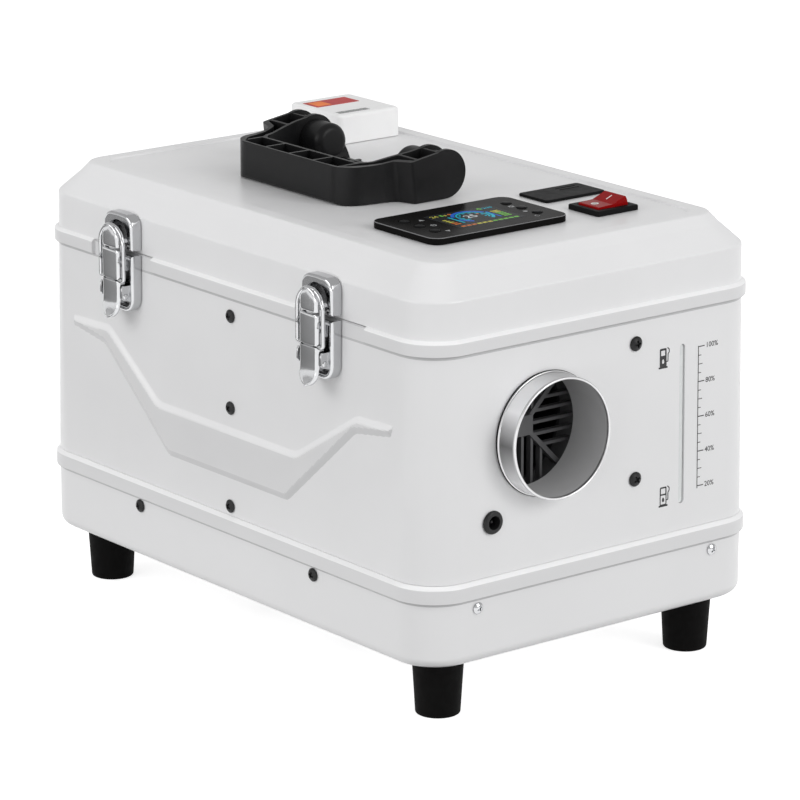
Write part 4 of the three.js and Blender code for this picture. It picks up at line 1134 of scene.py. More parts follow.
def flat_rect(u0, u1, v0, v1, t=0.06):
    return prism("z", [(u0, v0), (u1, v0), (u1, v1), (u0, v1)], 0, t)


scale = [flat_rect(80.3, 80.85, 113.6, 203.8)]
for k in range(5):
    z = 203.3 - k * 22.05
    scale.append(flat_rect(80.6, 85.6, z - 0.3, z + 0.3))
    if k < 4:
        for j in (1, 2, 3):
            zz = z - j * 22.05 / 4
            ln = 3.4 if j == 2 else 2.3
            scale.append(flat_rect(80.6, 80.6 + ln, zz - 0.22, zz + 0.22))
    scale.append(text_bm("%d%%" % (100 - 20 * k), 4.6, 86.6, z, "LEFT", 0.02))


def pump_icon(u, v, s, full):
    """Generic fuel-pump pictogram about 9 wide and 13.7 high."""
    def rr(u0, u1, v0, v1, r=0.4):
        return prism("z", rrect(u + u0 * s, u + u1 * s, v + v0 * s, v + v1 * s, r, 3), 0, 0.06)

    out = [rr(-4.3, 3.3, -6.6, -5.4)]
    if full:
        b = prism("z", rrect(u - 3.4 * s, u + 2.3 * s, v - 5.6 * s, v + 6.6 * s, 0.8, 4), 0, 0.06)
        out.append(cut(b, prism("z", rrect(u - 2.3 * s, u + 1.2 * s, v + 1.8 * s, v + 5.2 * s, 0.4, 3), -1, 1)))
    else:
        b = prism("z", rrect(u - 3.4 * s, u + 2.3 * s, v - 5.6 * s, v + 6.6 * s, 0.8, 4), 0, 0.06)
        b = cut(b, prism("z", rrect(u - 2.7 * s, u + 1.6 * s, v - 4.9 * s, v + 1.0 * s, 0.4, 3), -1, 1))
        out.append(cut(b, prism("z", rrect(u - 2.5 * s, u + 1.4 * s, v + 2.0 * s, v + 5.6 * s, 0.4, 3), -1, 1)))
    drop = []
    for k in range(24):
        a = 2 * math.pi * k / 24
        rr_ = 1.0 + (0.55 * max(0, math.sin(a)) ** 4)
        drop.append((u - 0.55 * s + rr_ * math.cos(a) * 0.9, v - 2.3 * s + rr_ * math.sin(a) * 1.15))
    if full:
        out[-1] = cut(out[-1], prism("z", drop, -1, 1))
    else:
        out.append(prism("z", drop, 0, 0.06))
    hose = [(2.3, -2.4), (3.6, -2.4), (3.6, 2.6), (4.6, 3.6), (4.6, 5.4), (3.1, 6.7)]
    path = fillet([(u + a * s, v + b * s) for a, b in hose], 0.6, 3)
    t = 0.32
    left, right = [], []
    for k, p in enumerate(path):
        a = Vector(path[max(k - 1, 0)])
        b = Vector(path[min(k + 1, len(path) - 1)])
        d = (b - a).normalized()
        nrm = Vector((-d.y, d.x)) * t
        left.append(tuple(Vector(p) + nrm))
        right.append(tuple(Vector(p) - nrm))
    out.append(prism("z", left + right[::-1], 0, 0.06))
    return out


scale += pump_icon(52.4, 200.6, 0.95, True)
scale += pump_icon(53.4, 113.2, 0.95, False)
piece("level_scale_print", on_end(merged(*scale)), INK, "case", None, sharp=30, weight=False)

# ------------------------------------------------------------------ controller
L = dict(x0=79.0, x1=143.0, y0=-80.0, y1=26.0, r=8.0, z0=279.3, z1=283.6)
KEYS = [(96.5, -66.3), (111.3, -66.3), (126.1, -66.3), (96.5, 13.3), (111.3, 13.3), (126.1, 13.3)]


def plate(d):
    return rrect(L["x0"] + d, L["x1"] - d, L["y0"] + d, L["y1"] - d, L["r"] - d, 12)


lcd = block(plate, [(0.25, 279.3), (0.0, 279.55), (0.0, 282.85), (0.06, 283.1), (0.22, 283.36), (0.46, 283.53), (0.75, 283.6)])
lcd = cut(lcd, [cyl("z", 281, 285, x, y, 3.6, n=40) for x, y in KEYS])
# Bevel faces along the front and +X edges of the top take the lighter grey: a painted highlight.
lcd.normal_update()
for f in lcd.faces:
    c = f.calc_center_median()
    f.material_index = 1 if 283.05 < c.z < 283.5 and f.normal.z > 0.2 and (c.y < L["y0"] + 8 or c.x > L["x1"] - 8) else 0
piece("controller_plate", lcd, [GLASS, PANEL_EDGE_PAINTED_HIGHLIGHT], "lid", "lcd_housing", sharp=32)


def top_print(bm, z=283.63):
    """(u, v, w) on the controller, read from the +X side: u along +Y, v along -X."""
    for v in bm.verts:
        u, h, w = v.co
        v.co = (-h, u, z + w)
    bmesh.ops.recalc_face_normals(bm, faces=bm.faces)
    return bm


def ring_sector(cu, cv, ri, ro, a0, a1, n=24, t=0.05):
    pts = arc(cu, cv, ro, a0, a1, n) + arc(cu, cv, ri, a1, a0, n)
    return prism("z", pts, 0, t)


def disc(cu, cv, r, n=24, t=0.05):
    return prism("z", arc(cu, cv, r, 0, 360 - 360 / n, n - 1), 0, t)


# Display: a sunken-looking dark screen with a generic gauge, bars and figures.
SC = dict(u0=-50.0, u1=1.2, v0=-131.0, v1=-94.0)
screen = prism("z", rrect(SC["u0"], SC["u1"], SC["v0"], SC["v1"], 1.0, 4), 0, 0.03)
m_screen = plastic("display_black", (0.020, 0.022, 0.023), (0.2, 0.3), 0.02, 3000, spec=0.02)
piece("display_field", top_print(screen, 283.62), m_screen, "lid", None, sharp=30, weight=False)
cu, cv = -24.5, -110.5
cyan, blue, green, yellow, orange, white = [], [], [], [], [], []
cyan.append(ring_sector(cu, cv, 9.6, 10.8, -40, 220))
blue.append(ring_sector(cu, cv, 11.4, 13.6, 20, 160))
blue.append(ring_sector(cu, cv, 11.4, 13.6, 190, 235))
cyan.append(ring_sector(cu, cv, 11.4, 13.6, -50, 12))
for k in range(9):
    a = -30 + k * 30
    cyan.append(ring_sector(cu, cv, 7.6, 8.8, a, a + 14, 4))
white.append(text_bm("25", 9.0, cu - 5.6, cv + 0.4, "LEFT", 0.12))
orange.append(disc(cu + 6.2, cv + 3.3, 0.9))
yellow.append(text_bm("24", 5.4, -47.6, -98.6, "LEFT", 0.08))
green.append(flat_rect(-40.2, -38.6, -100.4, -96.6, 0.05))
yellow.append(flat_rect(-37.6, -36.2, -100.4, -98.0, 0.05))
orange.append(disc(-33.2, -98.4, 1.3))
green.append(ring_sector(-9.6, -98.4, 1.0, 1.9, 0, 300))
cyan.append(text_bm("12:30", 4.2, -9.2, -98.6, "LEFT", 0.05))
for k in range(6):
    (green if k < 4 else yellow).append(flat_rect(-8.4, -2.6, -121.8 + 2.7 * k, -120.2 + 2.7 * k, 0.05))
for k in range(5):
    (orange if k < 2 else yellow).append(flat_rect(-46.8, -46.8 + 4.6 - 0.5 * k, -121.8 + 2.9 * k, -120.1 + 2.9 * k, 0.05))
for k in range(11):
    tone = orange if k < 3 else (yellow if k < 6 else green)
    tone.append(flat_rect(-46.8 + 4.1 * k, -43.7 + 4.1 * k, -128.6, -126.2, 0.05))
cyan.append(flat_rect(-39.6, -38.2, -120.5, -104.5, 0.05))
blue.append(flat_rect(-11.4, -10.2, -121.0, -106.0, 0.05))
for nm, parts, col, power in (
    ("cyan", cyan, (0.02, 0.55, 0.72), 0.55), ("blue", blue, (0.03, 0.16, 0.70), 0.7), ("green", green, (0.25, 0.70, 0.12), 0.45),
    ("yellow", yellow, (0.75, 0.70, 0.12), 0.45), ("orange", orange, (0.80, 0.22, 0.05), 0.5), ("white", white, (0.80, 0.85, 0.88), 0.5),
):
    piece("display_" + nm, top_print(merged(*parts), 283.66), glow("lit_" + nm, col, power), "lid", None, sharp=30, weight=False)

# Printed symbols beside the screen, one for each key.
m_sym = glow("symbol_white", (0.66, 0.67, 0.68), 0.12)
sym = []
for u, v, way in ((-56.3, -99.8, 1), (-59.9, -130.8, -1)):
    sym.append(prism("z", [(u - 1.9, v - 1.4 * way), (u + 1.9, v - 1.4 * way), (u, v + 1.9 * way)][::way], 0, 0.05))
sym.append(ring_sector(-58.1, -114.4, 1.35, 2.0, 120, 420))
sym.append(flat_rect(-58.45, -57.75, -114.4, -111.9, 0.05))
gear = []
for k in range(16):
    rr = 2.25 if k % 2 else 1.6
    gear += arc(10.1, -105.1, rr, k * 22.5 - 7, k * 22.5 + 7, 1)
sym.append(cut(prism("z", gear, 0, 0.05), prism("z", arc(10.1, -105.1, 0.8, 0, 345, 23), -1, 1)))
sym.append(disc(8.9, -120.0, 1.5))
sym.append(ring_sector(7.4, -133.2, 1.2, 1.7, 40, 320))
piece("controller_symbols", top_print(merged(*sym)), m_sym, "lid", None, sharp=30, weight=False)
for i, (x, y) in enumerate(KEYS, 1):
    key = turned("z", [(0, 282), (3.0, 282), (3.1, 282.1), (3.1, 283.85), (2.95, 284.1), (2.4, 284.32), (1.2, 284.4), (0, 284.36)], x, y, 40)
    piece("key_%d_cap" % i, key, KEYCAP, "key_%d" % i, "key_%d" % i, sharp=50)

# ------------------------------------------------------------------ rocker switch
sx0, sy0, sz0 = SWITCH


def bezel_at(d):
    return rrect(-14.4 + d, 14.4 - d, -16.6 + d, 16.6 - d, max(1.6 - d, 0.3), 6)


housing = join(
    block(bezel_at, [(0.0, -1.7), (0.0, 0.7), (0.12, 1.0), (0.5, 1.4), (0.9, 1.5)]),
    box(-11.7, 11.7, -14.3, 14.3, -22, -1),
)
housing = cut(
    housing,
    rings_bm([[(x, y, z) for x, y in rrect(-9.7 - d, 9.7 + d, -12.5 - d, 12.5 + d, 0.6, 4)] for z, d in ((-14, 0), (0.9, 0), (1.6, 0.7), (3, 0.7))]),
    cyl("x", -10.9, 10.9, 0, 0, 1.8, n=24),
)
piece("switch_bezel", shifted(housing, sx0, sy0, sz0), BEZEL, "lid", "switch_housing", bevel=0.15, seg=1, sharp=32)

T12 = math.radians(12)


def rot12(y, z):
    return (y * math.cos(T12) - z * math.sin(T12), y * math.sin(T12) + z * math.cos(T12))


def polar(deg, r=12.1):
    return (r * math.cos(math.radians(deg)), r * math.sin(math.radians(deg)))


rock = [polar(-25), polar(-8), polar(10), polar(24), (0, 3.1), polar(156), polar(170), polar(188), polar(205), (-5, -7.5), (5, -7.5)]
# the two top faces are slightly dished towards the middle
rock_out = fillet([rot12(*p) for p in rock], [0, 0, 0, 0.8, 3.0, 0.8, 0, 0, 0, 0, 0], 5, closed=True)
rocker = join(prism("x", rock_out, -9.3, 9.3), cyl("x", -10.7, 10.7, 0, 0, 1.45, n=24))
piece("rocker_cap", shifted(rocker, sx0, sy0, sz0), RED, "rocker", "rocker", bevel=0.55, seg=3, sharp=32)


def on_rocker(bm, half):
    """(u along +Y on the face, v along -X) onto the rocker's front (-1) or rear (+1) face."""
    a = polar(24 if half > 0 else 156)
    y1, z1 = rot12(*a)
    y0, z0 = rot12(0, 3.1)
    t = Vector((y1 - y0, z1 - z0))
    ln = t.length
    t.normalize()
    if half < 0:
        t = -t
    n = Vector((-t.y, t.x))
    if n.y < 0:
        n = -n
    mid = Vector(((y0 + y1) / 2, (z0 + z1) / 2))
    for v in bm.verts:
        u, h, w = v.co
        p = mid + t * u + n * (0.05 + w)
        v.co = (sx0 - h, sy0 + p.x, sz0 + p.y)
    bmesh.ops.recalc_face_normals(bm, faces=bm.faces)
    return bm


m_mark = plastic("switch_mark", (0.80, 0.76, 0.74), (0.35, 0.5), 0.05, 3000)
marks = merged(
    on_rocker(ring_sector(-0.6, 0, 1.75, 2.45, 0, 360, 32), -1),
    on_rocker(prism("z", rrect(-2.5, 2.5, -0.38, 0.38, 0.3, 4), 0, 0.05), 1),
)
piece("rocker_marks", marks, m_mark, "rocker", None, sharp=30, weight=False)

# ------------------------------------------------------------------ cover plate and alarm box
def cover_at(d):
    return rrect(70 + d, 98 - d, 44.5 + d, 93 - d, max(2.5 - d, 0.5), 8)


cover = block(cover_at, [(0.2, 279.3), (0, 279.5), (0, 280.4), (0.15, 280.65), (0.5, 280.88), (0.9, 280.92)])
cover = cut(cover, [
    prism("z", rrect(75.4, 76.6, 70, 86, 0.5, 4), 280.35, 282),
    prism("z", rrect(79.4, 80.6, 70, 86, 0.5, 4), 280.35, 282),
])
piece("cover_plate_lid", cover, BEZEL, "lid", "cover_plate", bevel=0.12, seg=1, sharp=32)


def alarm_at(d):
    return rrect(-169.4 + d, -114.2 - d, 47.4 + d, 97.4 - d, max(3.5 - d * 0.6, 1.0), 10)


alarm = block(
    alarm_at,
    [(0.3, 279.3), (0, 279.6), (0, 290.0), (0, 296.7), (0.1, 297.3), (0.4, 297.9), (0.9, 298.35), (1.5, 298.65), (2.2, 298.8), (3.0, 298.8), (3.5, 298.55), (4.2, 298.5)],
)
alarm = cut(alarm, prism("z", rrect(-127.2, -120.4, 52.2, 77.8, 0.6, 4), 298.0, 300))
piece("alarm_box_case", alarm, BOXWHITE, "lid", "alarm_box", sharp=32)
m_win = plastic("alarm_window", (0.16, 0.17, 0.17), (0.22, 0.3), 0.02, 3000)
piece("alarm_box_window", prism("z", rrect(-126.9, -120.7, 52.5, 77.5, 0.5, 4), 297.7, 298.3), m_win, "lid", None, bevel=0.1)
m_red = plastic("label_red", (0.50, 0.03, 0.03), (0.5, 0.6), 0.03, 3000)
m_orange = plastic("label_orange", (0.86, 0.20, 0.02), (0.5, 0.6), 0.03, 3000)
piece("alarm_label_red", prism("z", rrect(-161.8, -145.2, 48.0 + 4.4, 87.4, 0.6, 4), 298.4, 298.62), m_red, "lid", None, weight=False)
piece("alarm_label_orange", prism("z", rrect(-159.6, -147.4, 55.0, 66.0, 0.6, 4), 298.5, 298.66), m_orange, "lid", None, weight=False)

# ------------------------------------------------------------------ carry handle
ZF, R_END = -15.5, 15.5
GY0, GY1 = -65.5, -46.5
profile = fillet(
    [(GY0, ZF), (0, ZF), (0, 14.9), (-4, 14.5), (-21, 11.9), (-27, 10.9), (-37.5, 8.9), (-45, 8.6), (GY0, 8.6)],
    [3.4, 0, 0, 6, 20, 20, 14, 14, 1.0], 8, closed=True,
)
HALF = [(77, 3), (77, -25.6), (70, -28.0), (64.4, -29.9), (62.3, -36), (57.7, GY0)]
HALF_R = [0, 2.4, 9, 5, 12, 18]
INNER = [(57, 3), (57, -14.5), (50.4, -42), (46, GY1)]
INNER_R = [0, 8, 4, 4]
OUT = HALF + [(-x, y) for x, y in HALF[::-1]] + [(-x, y) for x, y in INNER] + INNER[::-1]
plan = fillet(OUT, HALF_R + HALF_R[::-1] + INNER_R + INNER_R[::-1], 9, closed=True)


def disc_end(s):
    def ring(a, b, r):
        a, b = sorted((s * a, s * b))
        return cyl("x", a, b, 0, 0, r, n=72)

    return [ring(57, 60.2, R_END), ring(60, 74.2, 13), ring(74, 77, R_END)]


def drafted(bm):
    """The crease of each leg leans forward towards the top."""
    for v in bm.verts:
        k = min(1.0, max(0.0, (abs(v.co.x) - 60) / 6)) * min(1.0, max(0.0, (-14 - v.co.y) / 6)) * min(1.0, max(0.0, (v.co.y + 52) / 14))
        v.co.y -= k * 1.5 * (v.co.z + 3) / 14
    return bm


slab = rings_bm([[(x, y, z) for x, y in plan] for z in (-30, -22, -15.6, -12, -6, 0, 6, 12, 20, 30)])
handle = boolean(drafted(slab), prism("x", profile, -90, 90), "INTERSECT")
handle = join(handle, disc_end(1), disc_end(-1))
pockets = []
W, FLOOR = 1.9, ZF + 2.6
bays = [-49, -24.5, 0, 24.5, 49]
for k in range(4):
    x0, x1 = bays[k] + W / 2, bays[k + 1] - W / 2
    near = [(x, GY0 + 2.2 + 0.8 * max(0.0, (abs(x) - 38) / 10) ** 2) for x in (x0, (x0 + x1) / 2, x1)]
    pockets.append(prism("z", near + [(x1, GY1 - 2.0), (x0, GY1 - 2.0)], FLOOR, 30))
for s in (1, -1):
    def side(pts, s=s, r=0.9):
        p = [(s * x, y) for x, y in pts]
        return fillet(p if s > 0 else p[::-1], r, 3, closed=True)

    corner = [(50.0, -46.6), (50.0, -58.0)] + arc(40.2, -47.6, 15.6, -62, -12, 6) + [(59.7, -36.2), (61.9, -29.8), (64.0, -27.6), (69.3, -25.8), (74.6, -23.9), (74.6, -22.4), (57.5, -22.4), (52.8, -42.2)]
    pockets.append(prism("z", side(corner), FLOOR, 30))
    pockets.append(prism("z", side([(58.0, -20.6), (74.8, -20.6), (74.8, -5.8), (59.4, -5.8), (59.4, -14)]), FLOOR + 6, 30))
    pockets.append(prism("z", side([(60.4, -4.4), (73.8, -4.4), (73.8, 20), (60.4, 20)]), 12.9, 30))
    a, b = sorted((s * 56, s * 66))
    pockets.append(cyl("x", a, b, 0, 0, 5.4, n=32))
handle = cut(handle, pockets)
piece("carry_handle", shifted(handle, *HANDLE), BLACK, "handle", "handle", bevel=0.6, seg=3, angle=38, sharp=50, slim=True)

zl = 279.3 - HANDLE[2]


def bracket_foot(d):
    return rrect(-56.4 + d, 56.4 - d, -13.6 + d, 16 - d, 3 - d * 0.5, 6)


def ear(s):
    """Domed ear inside one leg, its flared foot, and the trunnion."""
    crown = [(0, 37.6), (7.0, 37.6)] + [(7.3 + 5 * math.sin(math.radians(a)), 42.6 - 5 * math.cos(math.radians(a))) for a in range(10, 91, 10)] + [(12.3, 56.6), (0, 56.6)]
    parts = [turned("x", [(r, s * h) for r, h in crown], 0, 0, 64)]
    foot = fillet([(-13.6, zl), (13.6, zl), (13.6, zl + 2.6), (12.5, -5), (12.0, 1), (-12.0, 1), (-12.5, -5), (-13.6, zl + 2.6)], [0, 0, 0, 4, 0, 0, 4, 0], 5, closed=True)
    a, b = sorted((s * 42.4, s * 56.6))
    parts.append(prism("x", foot, a, b))
    web = fillet([(34.6, zl), (44, zl), (44, -2.0), (41.2, -3.6), (38.4, -7.2), (36.0, -11.4), (34.6, zl + 2.6)], [0, 0, 0, 2, 4, 4, 0], 4, closed=True)
    parts.append(prism("y", [(s * x, z) for x, z in web], -12.4, 12.4))
    a, b = sorted((s * 56, s * 64))
    parts.append(cyl("x", a, b, 0, 0, 4.9, n=32))
    return parts


bracket = block(bracket_foot, [(0, zl), (0, zl + 2.1), (0.2, zl + 2.45), (0.5, zl + 2.6)])
adds = ear(1) + ear(-1)
adds += [box(-37, 37, -8.5, -6, zl + 2, -9.8), box(-37, 37, 6, 8.5, zl + 2, -9.8)]
adds += [box(x - 1.25, x + 1.25, -11, 12, zl + 2, -9.8) for x in (-25, -12.7, 12.7, 25)]
for x in (-19, 19):
    for y in (-1.5, 12):
        adds.append(shifted(turned("z", [(0, zl + 2)] + [(3.2, zl + 2), (3.2, zl + 3.6)] + [(2.5, zl + 4.4), (0, zl + 4.8)], 0, 0, 24), x, y))
bracket = join(bracket, *adds)
piece("handle_bracket_body", shifted(bracket, *HANDLE), BLACK, "lid", "handle_bracket", bevel=0.7, seg=3, angle=30, sharp=50)

# ------------------------------------------------------------------ toggle latches (x across, d out of the wall, z up)
P1, P2 = (12.0, 234.0), (12.5, 221.5)


def latch_frame(bm, x):
    """(x, -d, z) in the latch's frame to the case frame."""
    return shifted(bm, x, WALL_Y, 0)


def flip_d(pts):
    return [(-d, z) for d, z in pts]


def base_outline(d):
    w = 15 - d
    r = max(9.5 - d, 2)
    return [(w, 237.2 - d), (-w, 237.2 - d)] + arc(-w + r, 200 + d + r, r, 180, 270, 10) + arc(w - r, 200 + d + r, r, 270, 360, 10)


def y_block(outline_at, steps):
    return rings_bm([[(u, y, v) for u, v in outline_at(d)] for d, y in steps])


def latch_base():
    steps = [(0.0, -0.75), (0.0, -5.6)]
    for k in range(1, 9):
        a = math.pi * k / 8
        steps.append((1.75 * (1 - math.cos(a)), -(5.9 + 2.0 * math.sin(a))))
    steps += [(3.5, -2.6), (4.0, -2.2)]
    b = y_block(base_outline, steps)
    ear = flip_d([(1.5, 227.5), (9, 227.5)]) + arc(-12, 234, 2.9, 250, 90, 9) + [(-1.5, 237.0)]
    low = flip_d([(1.5, 206)]) + arc(-11.2, 211.0, 2.4, 270, 180, 6) + flip_d([(13.6, 216.5), (12.6, 218.2), (1.5, 218.2)])
    adds = []
    for s in (1, -1):
        a, c = sorted((s * 9.6, s * 10.8))
        adds.append(prism("x", ear, a, c))
        a, c = sorted((s * 10.6, s * 12.2))
        adds.append(prism("x", low, a, c))
        rivet = turned("x", [(0, 0), (1.9, 0), (1.9, 0.3), (1.5, 0.75), (0.8, 0.95), (0, 1.0)], 0, 0, 24)
        rivet = moved(rivet, Matrix(((s, 0, 0, s * 12.1), (0, 1, 0, -11.0), (0, 0, 1, 211.4), (0, 0, 0, 1))))
        adds.append(rivet)
    adds.append(cyl("x", -11.5, 11.5, -P1[0], P1[1], 1.4, n=24))
    adds.append(prism("y", rrect(-8, 8, 206, 222, 1.5, 4), -9.5, -2.0))
    return join(b, *adds)


def arch_outline(d):
    w = 15 - d
    top, r = 263 - d, 11.5 - d
    pts = [(w, 240.5 + d)] + fillet([(w, 241 + d), (w, top - 0.5), (0, top), (-w, top - 0.5), (-w, 241 + d)], [0, r, 60, r, 0], 9)[1:-1]
    return pts + [(-w, 240.5 + d)]


def latch_strike():
    steps = [(0.0, -0.45), (0.0, -6.2)]
    for k in range(1, 6):
        a = math.pi / 2 * k / 5
        steps.append((1.7 * (1 - math.cos(a)), -(6.3 + 1.7 * math.sin(a))))
    s = y_block(arch_outline, steps)
    inner = fillet([(9.8, 238), (9.8, 257.5), (-9.8, 257.5), (-9.8, 238)], [0, 9.0, 9.0, 0], 10)
    s = cut(s, rings_bm([[(u * f, y, 238 + (v - 238) * f) for u, v in inner] for y, f in ((-2.0, 0.96), (-5.8, 1.0), (-7.4, 1.03), (-9, 1.12))]))
    hook = fillet([(1.5, 245.6), (12.4, 245.6), (12.4, 248.4), (1.5, 248.4)], [0, 0.8, 0.8, 0], 4)
    adds = [prism("x", flip_d(hook), -9.9, 9.9)]
    for sg in (1, -1):
        pin = turned("x", [(0, 0), (1.6, 0), (1.6, 1.6), (1.1, 2.2), (0, 2.4)], 0, 0, 24)
        adds.append(moved(pin, Matrix(((sg, 0, 0, sg * 9.8), (0, 1, 0, -9.9), (0, 0, 1, 247.2), (0, 0, 0, 1)))))
    return join(s, *adds)


def channel(w, front, back, r, t, crown=0.35, n=5, m=6):
    """Section of a folded plate: crowned front, rounded corners, sides going back. (x, d) points."""
    r = min(r, w * 0.8, max(front - back - 0.05, 0.3))
    outer = [(w, back)]
    outer += [(w - r + r * math.cos(a), front - crown - r + r * math.sin(a)) for a in [math.pi / 2 * k / n for k in range(n + 1)]]
    outer += [((w - r) * c, front - crown * c * c) for c in [1 - 2 * k / m for k in range(1, m)]]
    outer += [(-(w - r) + r * math.cos(a), front - crown - r + r * math.sin(a)) for a in [math.pi / 2 + math.pi / 2 * k / n for k in range(n + 1)]]
    outer += [(-w, back)]
    inner = []
    k = len(outer)
    for i, (x, d) in enumerate(outer):
        if i in (0, k - 1):
            inner.append((x - math.copysign(min(t, abs(x) * 0.6), x), back))
        else:
            a, b = Vector(outer[i - 1]), Vector(outer[i + 1])
            q = (b - a).normalized()
            inner.append((x - q.y * min(t, w * 0.4) * 1.0, max(d + q.x * t, back)) if abs(q.y) > 0.01 else (x, max(d - t, back)))
    return outer + inner[::-1]


def plate_stack(levels):
    """levels: (z, half width, front, back, corner radius)."""
    return rings_bm([[(x, -d, z) for x, d in channel(w, f, b, r, 1.15)] for z, w, f, b, r in levels])


def latch_lever():
    top = []
    for z, w, f, b in ((240.8, 8.9, 14.75, 9.6), (240.3, 9.15, 14.95, 9.3), (239.4, 9.2, 15, 9.0), (238.6, 9.2, 15, 8.4), (230, 9.2, 15, 8.4), (224, 9.2, 15, 8.4),
                       (222.3, 9.2, 15, 8.5), (222.0, 9.15, 14.9, 8.6), (221.9, 9.0, 14.3, 8.7), (220.9, 9.0, 14.3, 9.0), (220.8, 9.15, 14.9, 9.05), (220.5, 9.2, 15, 9.1),
                       (216.6, 9.2, 15, 10.2), (213.5, 9.2, 15, 11.6), (211, 9.1, 15, 12.3), (208, 8.9, 15.05, 12.7)):
        top.append((z, w, f, b, 2.6))
    for k in range(1, 15):
        z = 208 - 11.5 * k / 14
        out = 15.05 + 2.35 * ((208 - z) / 11.5) ** 1.6
        w = 8.7
        if z < 204.5:
            w = 8.7 * math.sqrt(max(1 - ((204.5 - z) / 8.05) ** 2, 0.004))
        top.append((z, w, out, out - 2.2, 2.2))
    lv = plate_stack(top)
    lv = cut(lv, cyl("x", -12, 12, -P1[0], P1[1], 1.75, n=24), cyl("x", -12, 12, -P2[0], P2[1], 1.65, n=24))
    return lv


def latch_bail():
    lv = []
    for z, w, f in ((242.4, 8.4, 14.7), (242.8, 8.6, 14.95), (244, 8.6, 15), (246, 8.6, 15), (248, 8.6, 15)):
        lv.append((z, w, f, 12.4, 2.6))
    for k in range(1, 13):
        a = math.radians(84 * k / 12)
        lv.append((248 + 8.4 * math.sin(a), 8.6 * math.cos(a), 15 - 0.5 * math.sin(a) ** 3, 12.4, 2.6))
    domep = plate_stack(lv)
    path = [(7.4, P2[1]), (12.5, P2[1]), (12.5, 243.5)]
    path = fillet(path, [0, 1.6, 0], 5)
    path += arc(0, 243.5, 12.5, 4, 176, 26)
    path += fillet([(-12.5, 243.5), (-12.5, P2[1]), (-7.4, P2[1])], [0, 1.6, 0], 5)
    wire = tube([(x, -P2[0], z) for x, z in path], 1.3, 14)
    inner = tube([(x, -12.3, z) for x, z in [(9.9, 240.6)] + [(9.9, 243.5)] + arc(0, 246.6, 9.9, 4, 176, 22) + [(-9.9, 243.5), (-9.9, 240.6)]], 0.55, 10)
    web = box(-5.5, 5.5, -14, -8.6, 248.8, 251.4)
    strut = box(-5.5, 5.5, -14, -11.6, 250, 255.6)
    arms = [prism("z", rrect(s * 9.6 - 3.0, s * 9.6 + 3.0, -13.2, -12.0, 0.4, 3), 244.6, 247.0) for s in (1, -1)]
    return merged(domep, wire, inner, web, strut, *arms)


# Faces that pass the test take the second material, the darker steel: painted shade.
def darken(bm, test):
    for f in bm.faces:
        if test(f.calc_center_median(), f.normal):
            f.material_index = 1
    return bm


def base_floor(c, n):
    return n.y < -0.7 and -2.6 < c.y < -1.9


def strike_floor(c, n):
    return n.y < -0.7 and -2.4 < c.y < -1.6


for side_name, x in (("left", -LATCH_X), ("right", LATCH_X)):
    piece("latch_base_plate_" + side_name, latch_frame(darken(latch_base(), base_floor), x), [STEEL, STEEL_PAINTED_SHADE], "case", "latch_base_" + side_name, bevel=0.22, seg=2, sharp=38)
    piece("latch_strike_plate_" + side_name, latch_frame(darken(latch_strike(), strike_floor), x), [STEEL, STEEL_PAINTED_SHADE], "lid", "latch_strike_" + side_name, bevel=0.22, seg=2, sharp=38)
    piece("latch_lever_plate_" + side_name, latch_frame(latch_lever(), x), STEEL, "lever_" + side_name, "latch_lever_" + side_name, bevel=0.2, seg=2, sharp=38)
    piece("latch_bail_loop_" + side_name, latch_frame(latch_bail(), x), STEEL, "bail_" + side_name, "latch_bail_" + side_name, bevel=0.2, seg=2, sharp=38)

# ------------------------------------------------------------------ rear hinge
NK, HLEN = 7, 240.0
HY, HZ = 138.0, 237.15
yw = -WALL_Y


def hinge(lid_side):
    parts = []
    pitch = HLEN / NK
    for k in range(NK):
        if (k % 2 == 1) != lid_side:
            continue
        x0, x1 = -HLEN / 2 + k * pitch + 0.25, -HLEN / 2 + (k + 1) * pitch - 0.25
        parts.append(cyl("x", x0, x1, HY, HZ, 3.2, n=36))
        z0, z1 = (HZ + 2, HZ + 3.4) if lid_side else (HZ - 3.4, HZ - 2)
        parts.append(box(x0, x1, yw + 1, HY, z0, z1))
    if lid_side:
        leaf = box(-HLEN / 2 + 0.25, HLEN / 2 - 0.25, yw + 0.45, yw + 1.75, HZ + 2.2, 258)
        zs = 251.5
        face = yw + 1.75
    else:
        leaf = box(-HLEN / 2 + 0.25, HLEN / 2 - 0.25, yw + 0.7, yw + 2, 205, HZ - 2.2)
        zs = 215
        face = yw + 2
    parts.append(leaf)
    h = join(parts[0], *parts[1:])
    h = cut(h, cyl("x", -HLEN / 2 - 5, HLEN / 2 + 5, HY, HZ, 1.95, n=28))
    for k in range(6):
        x = -100 + 40 * k
        rv = turned("y", [(0, face - 0.8), (2.9, face - 0.8), (2.9, face + 0.25), (2.3, face + 0.75), (1.2, face + 1.0), (0, face + 1.05)], x, zs, 24)
        h = join(h, rv)
    return h


piece("hinge_leaf_body_plate", hinge(False), HINGE, "case", "hinge_leaf_body", bevel=0.2, seg=1, sharp=20, slim=True)
piece("hinge_leaf_lid_plate", hinge(True), HINGE, "lid", "hinge_leaf_lid", bevel=0.2, seg=1, sharp=20, slim=True)

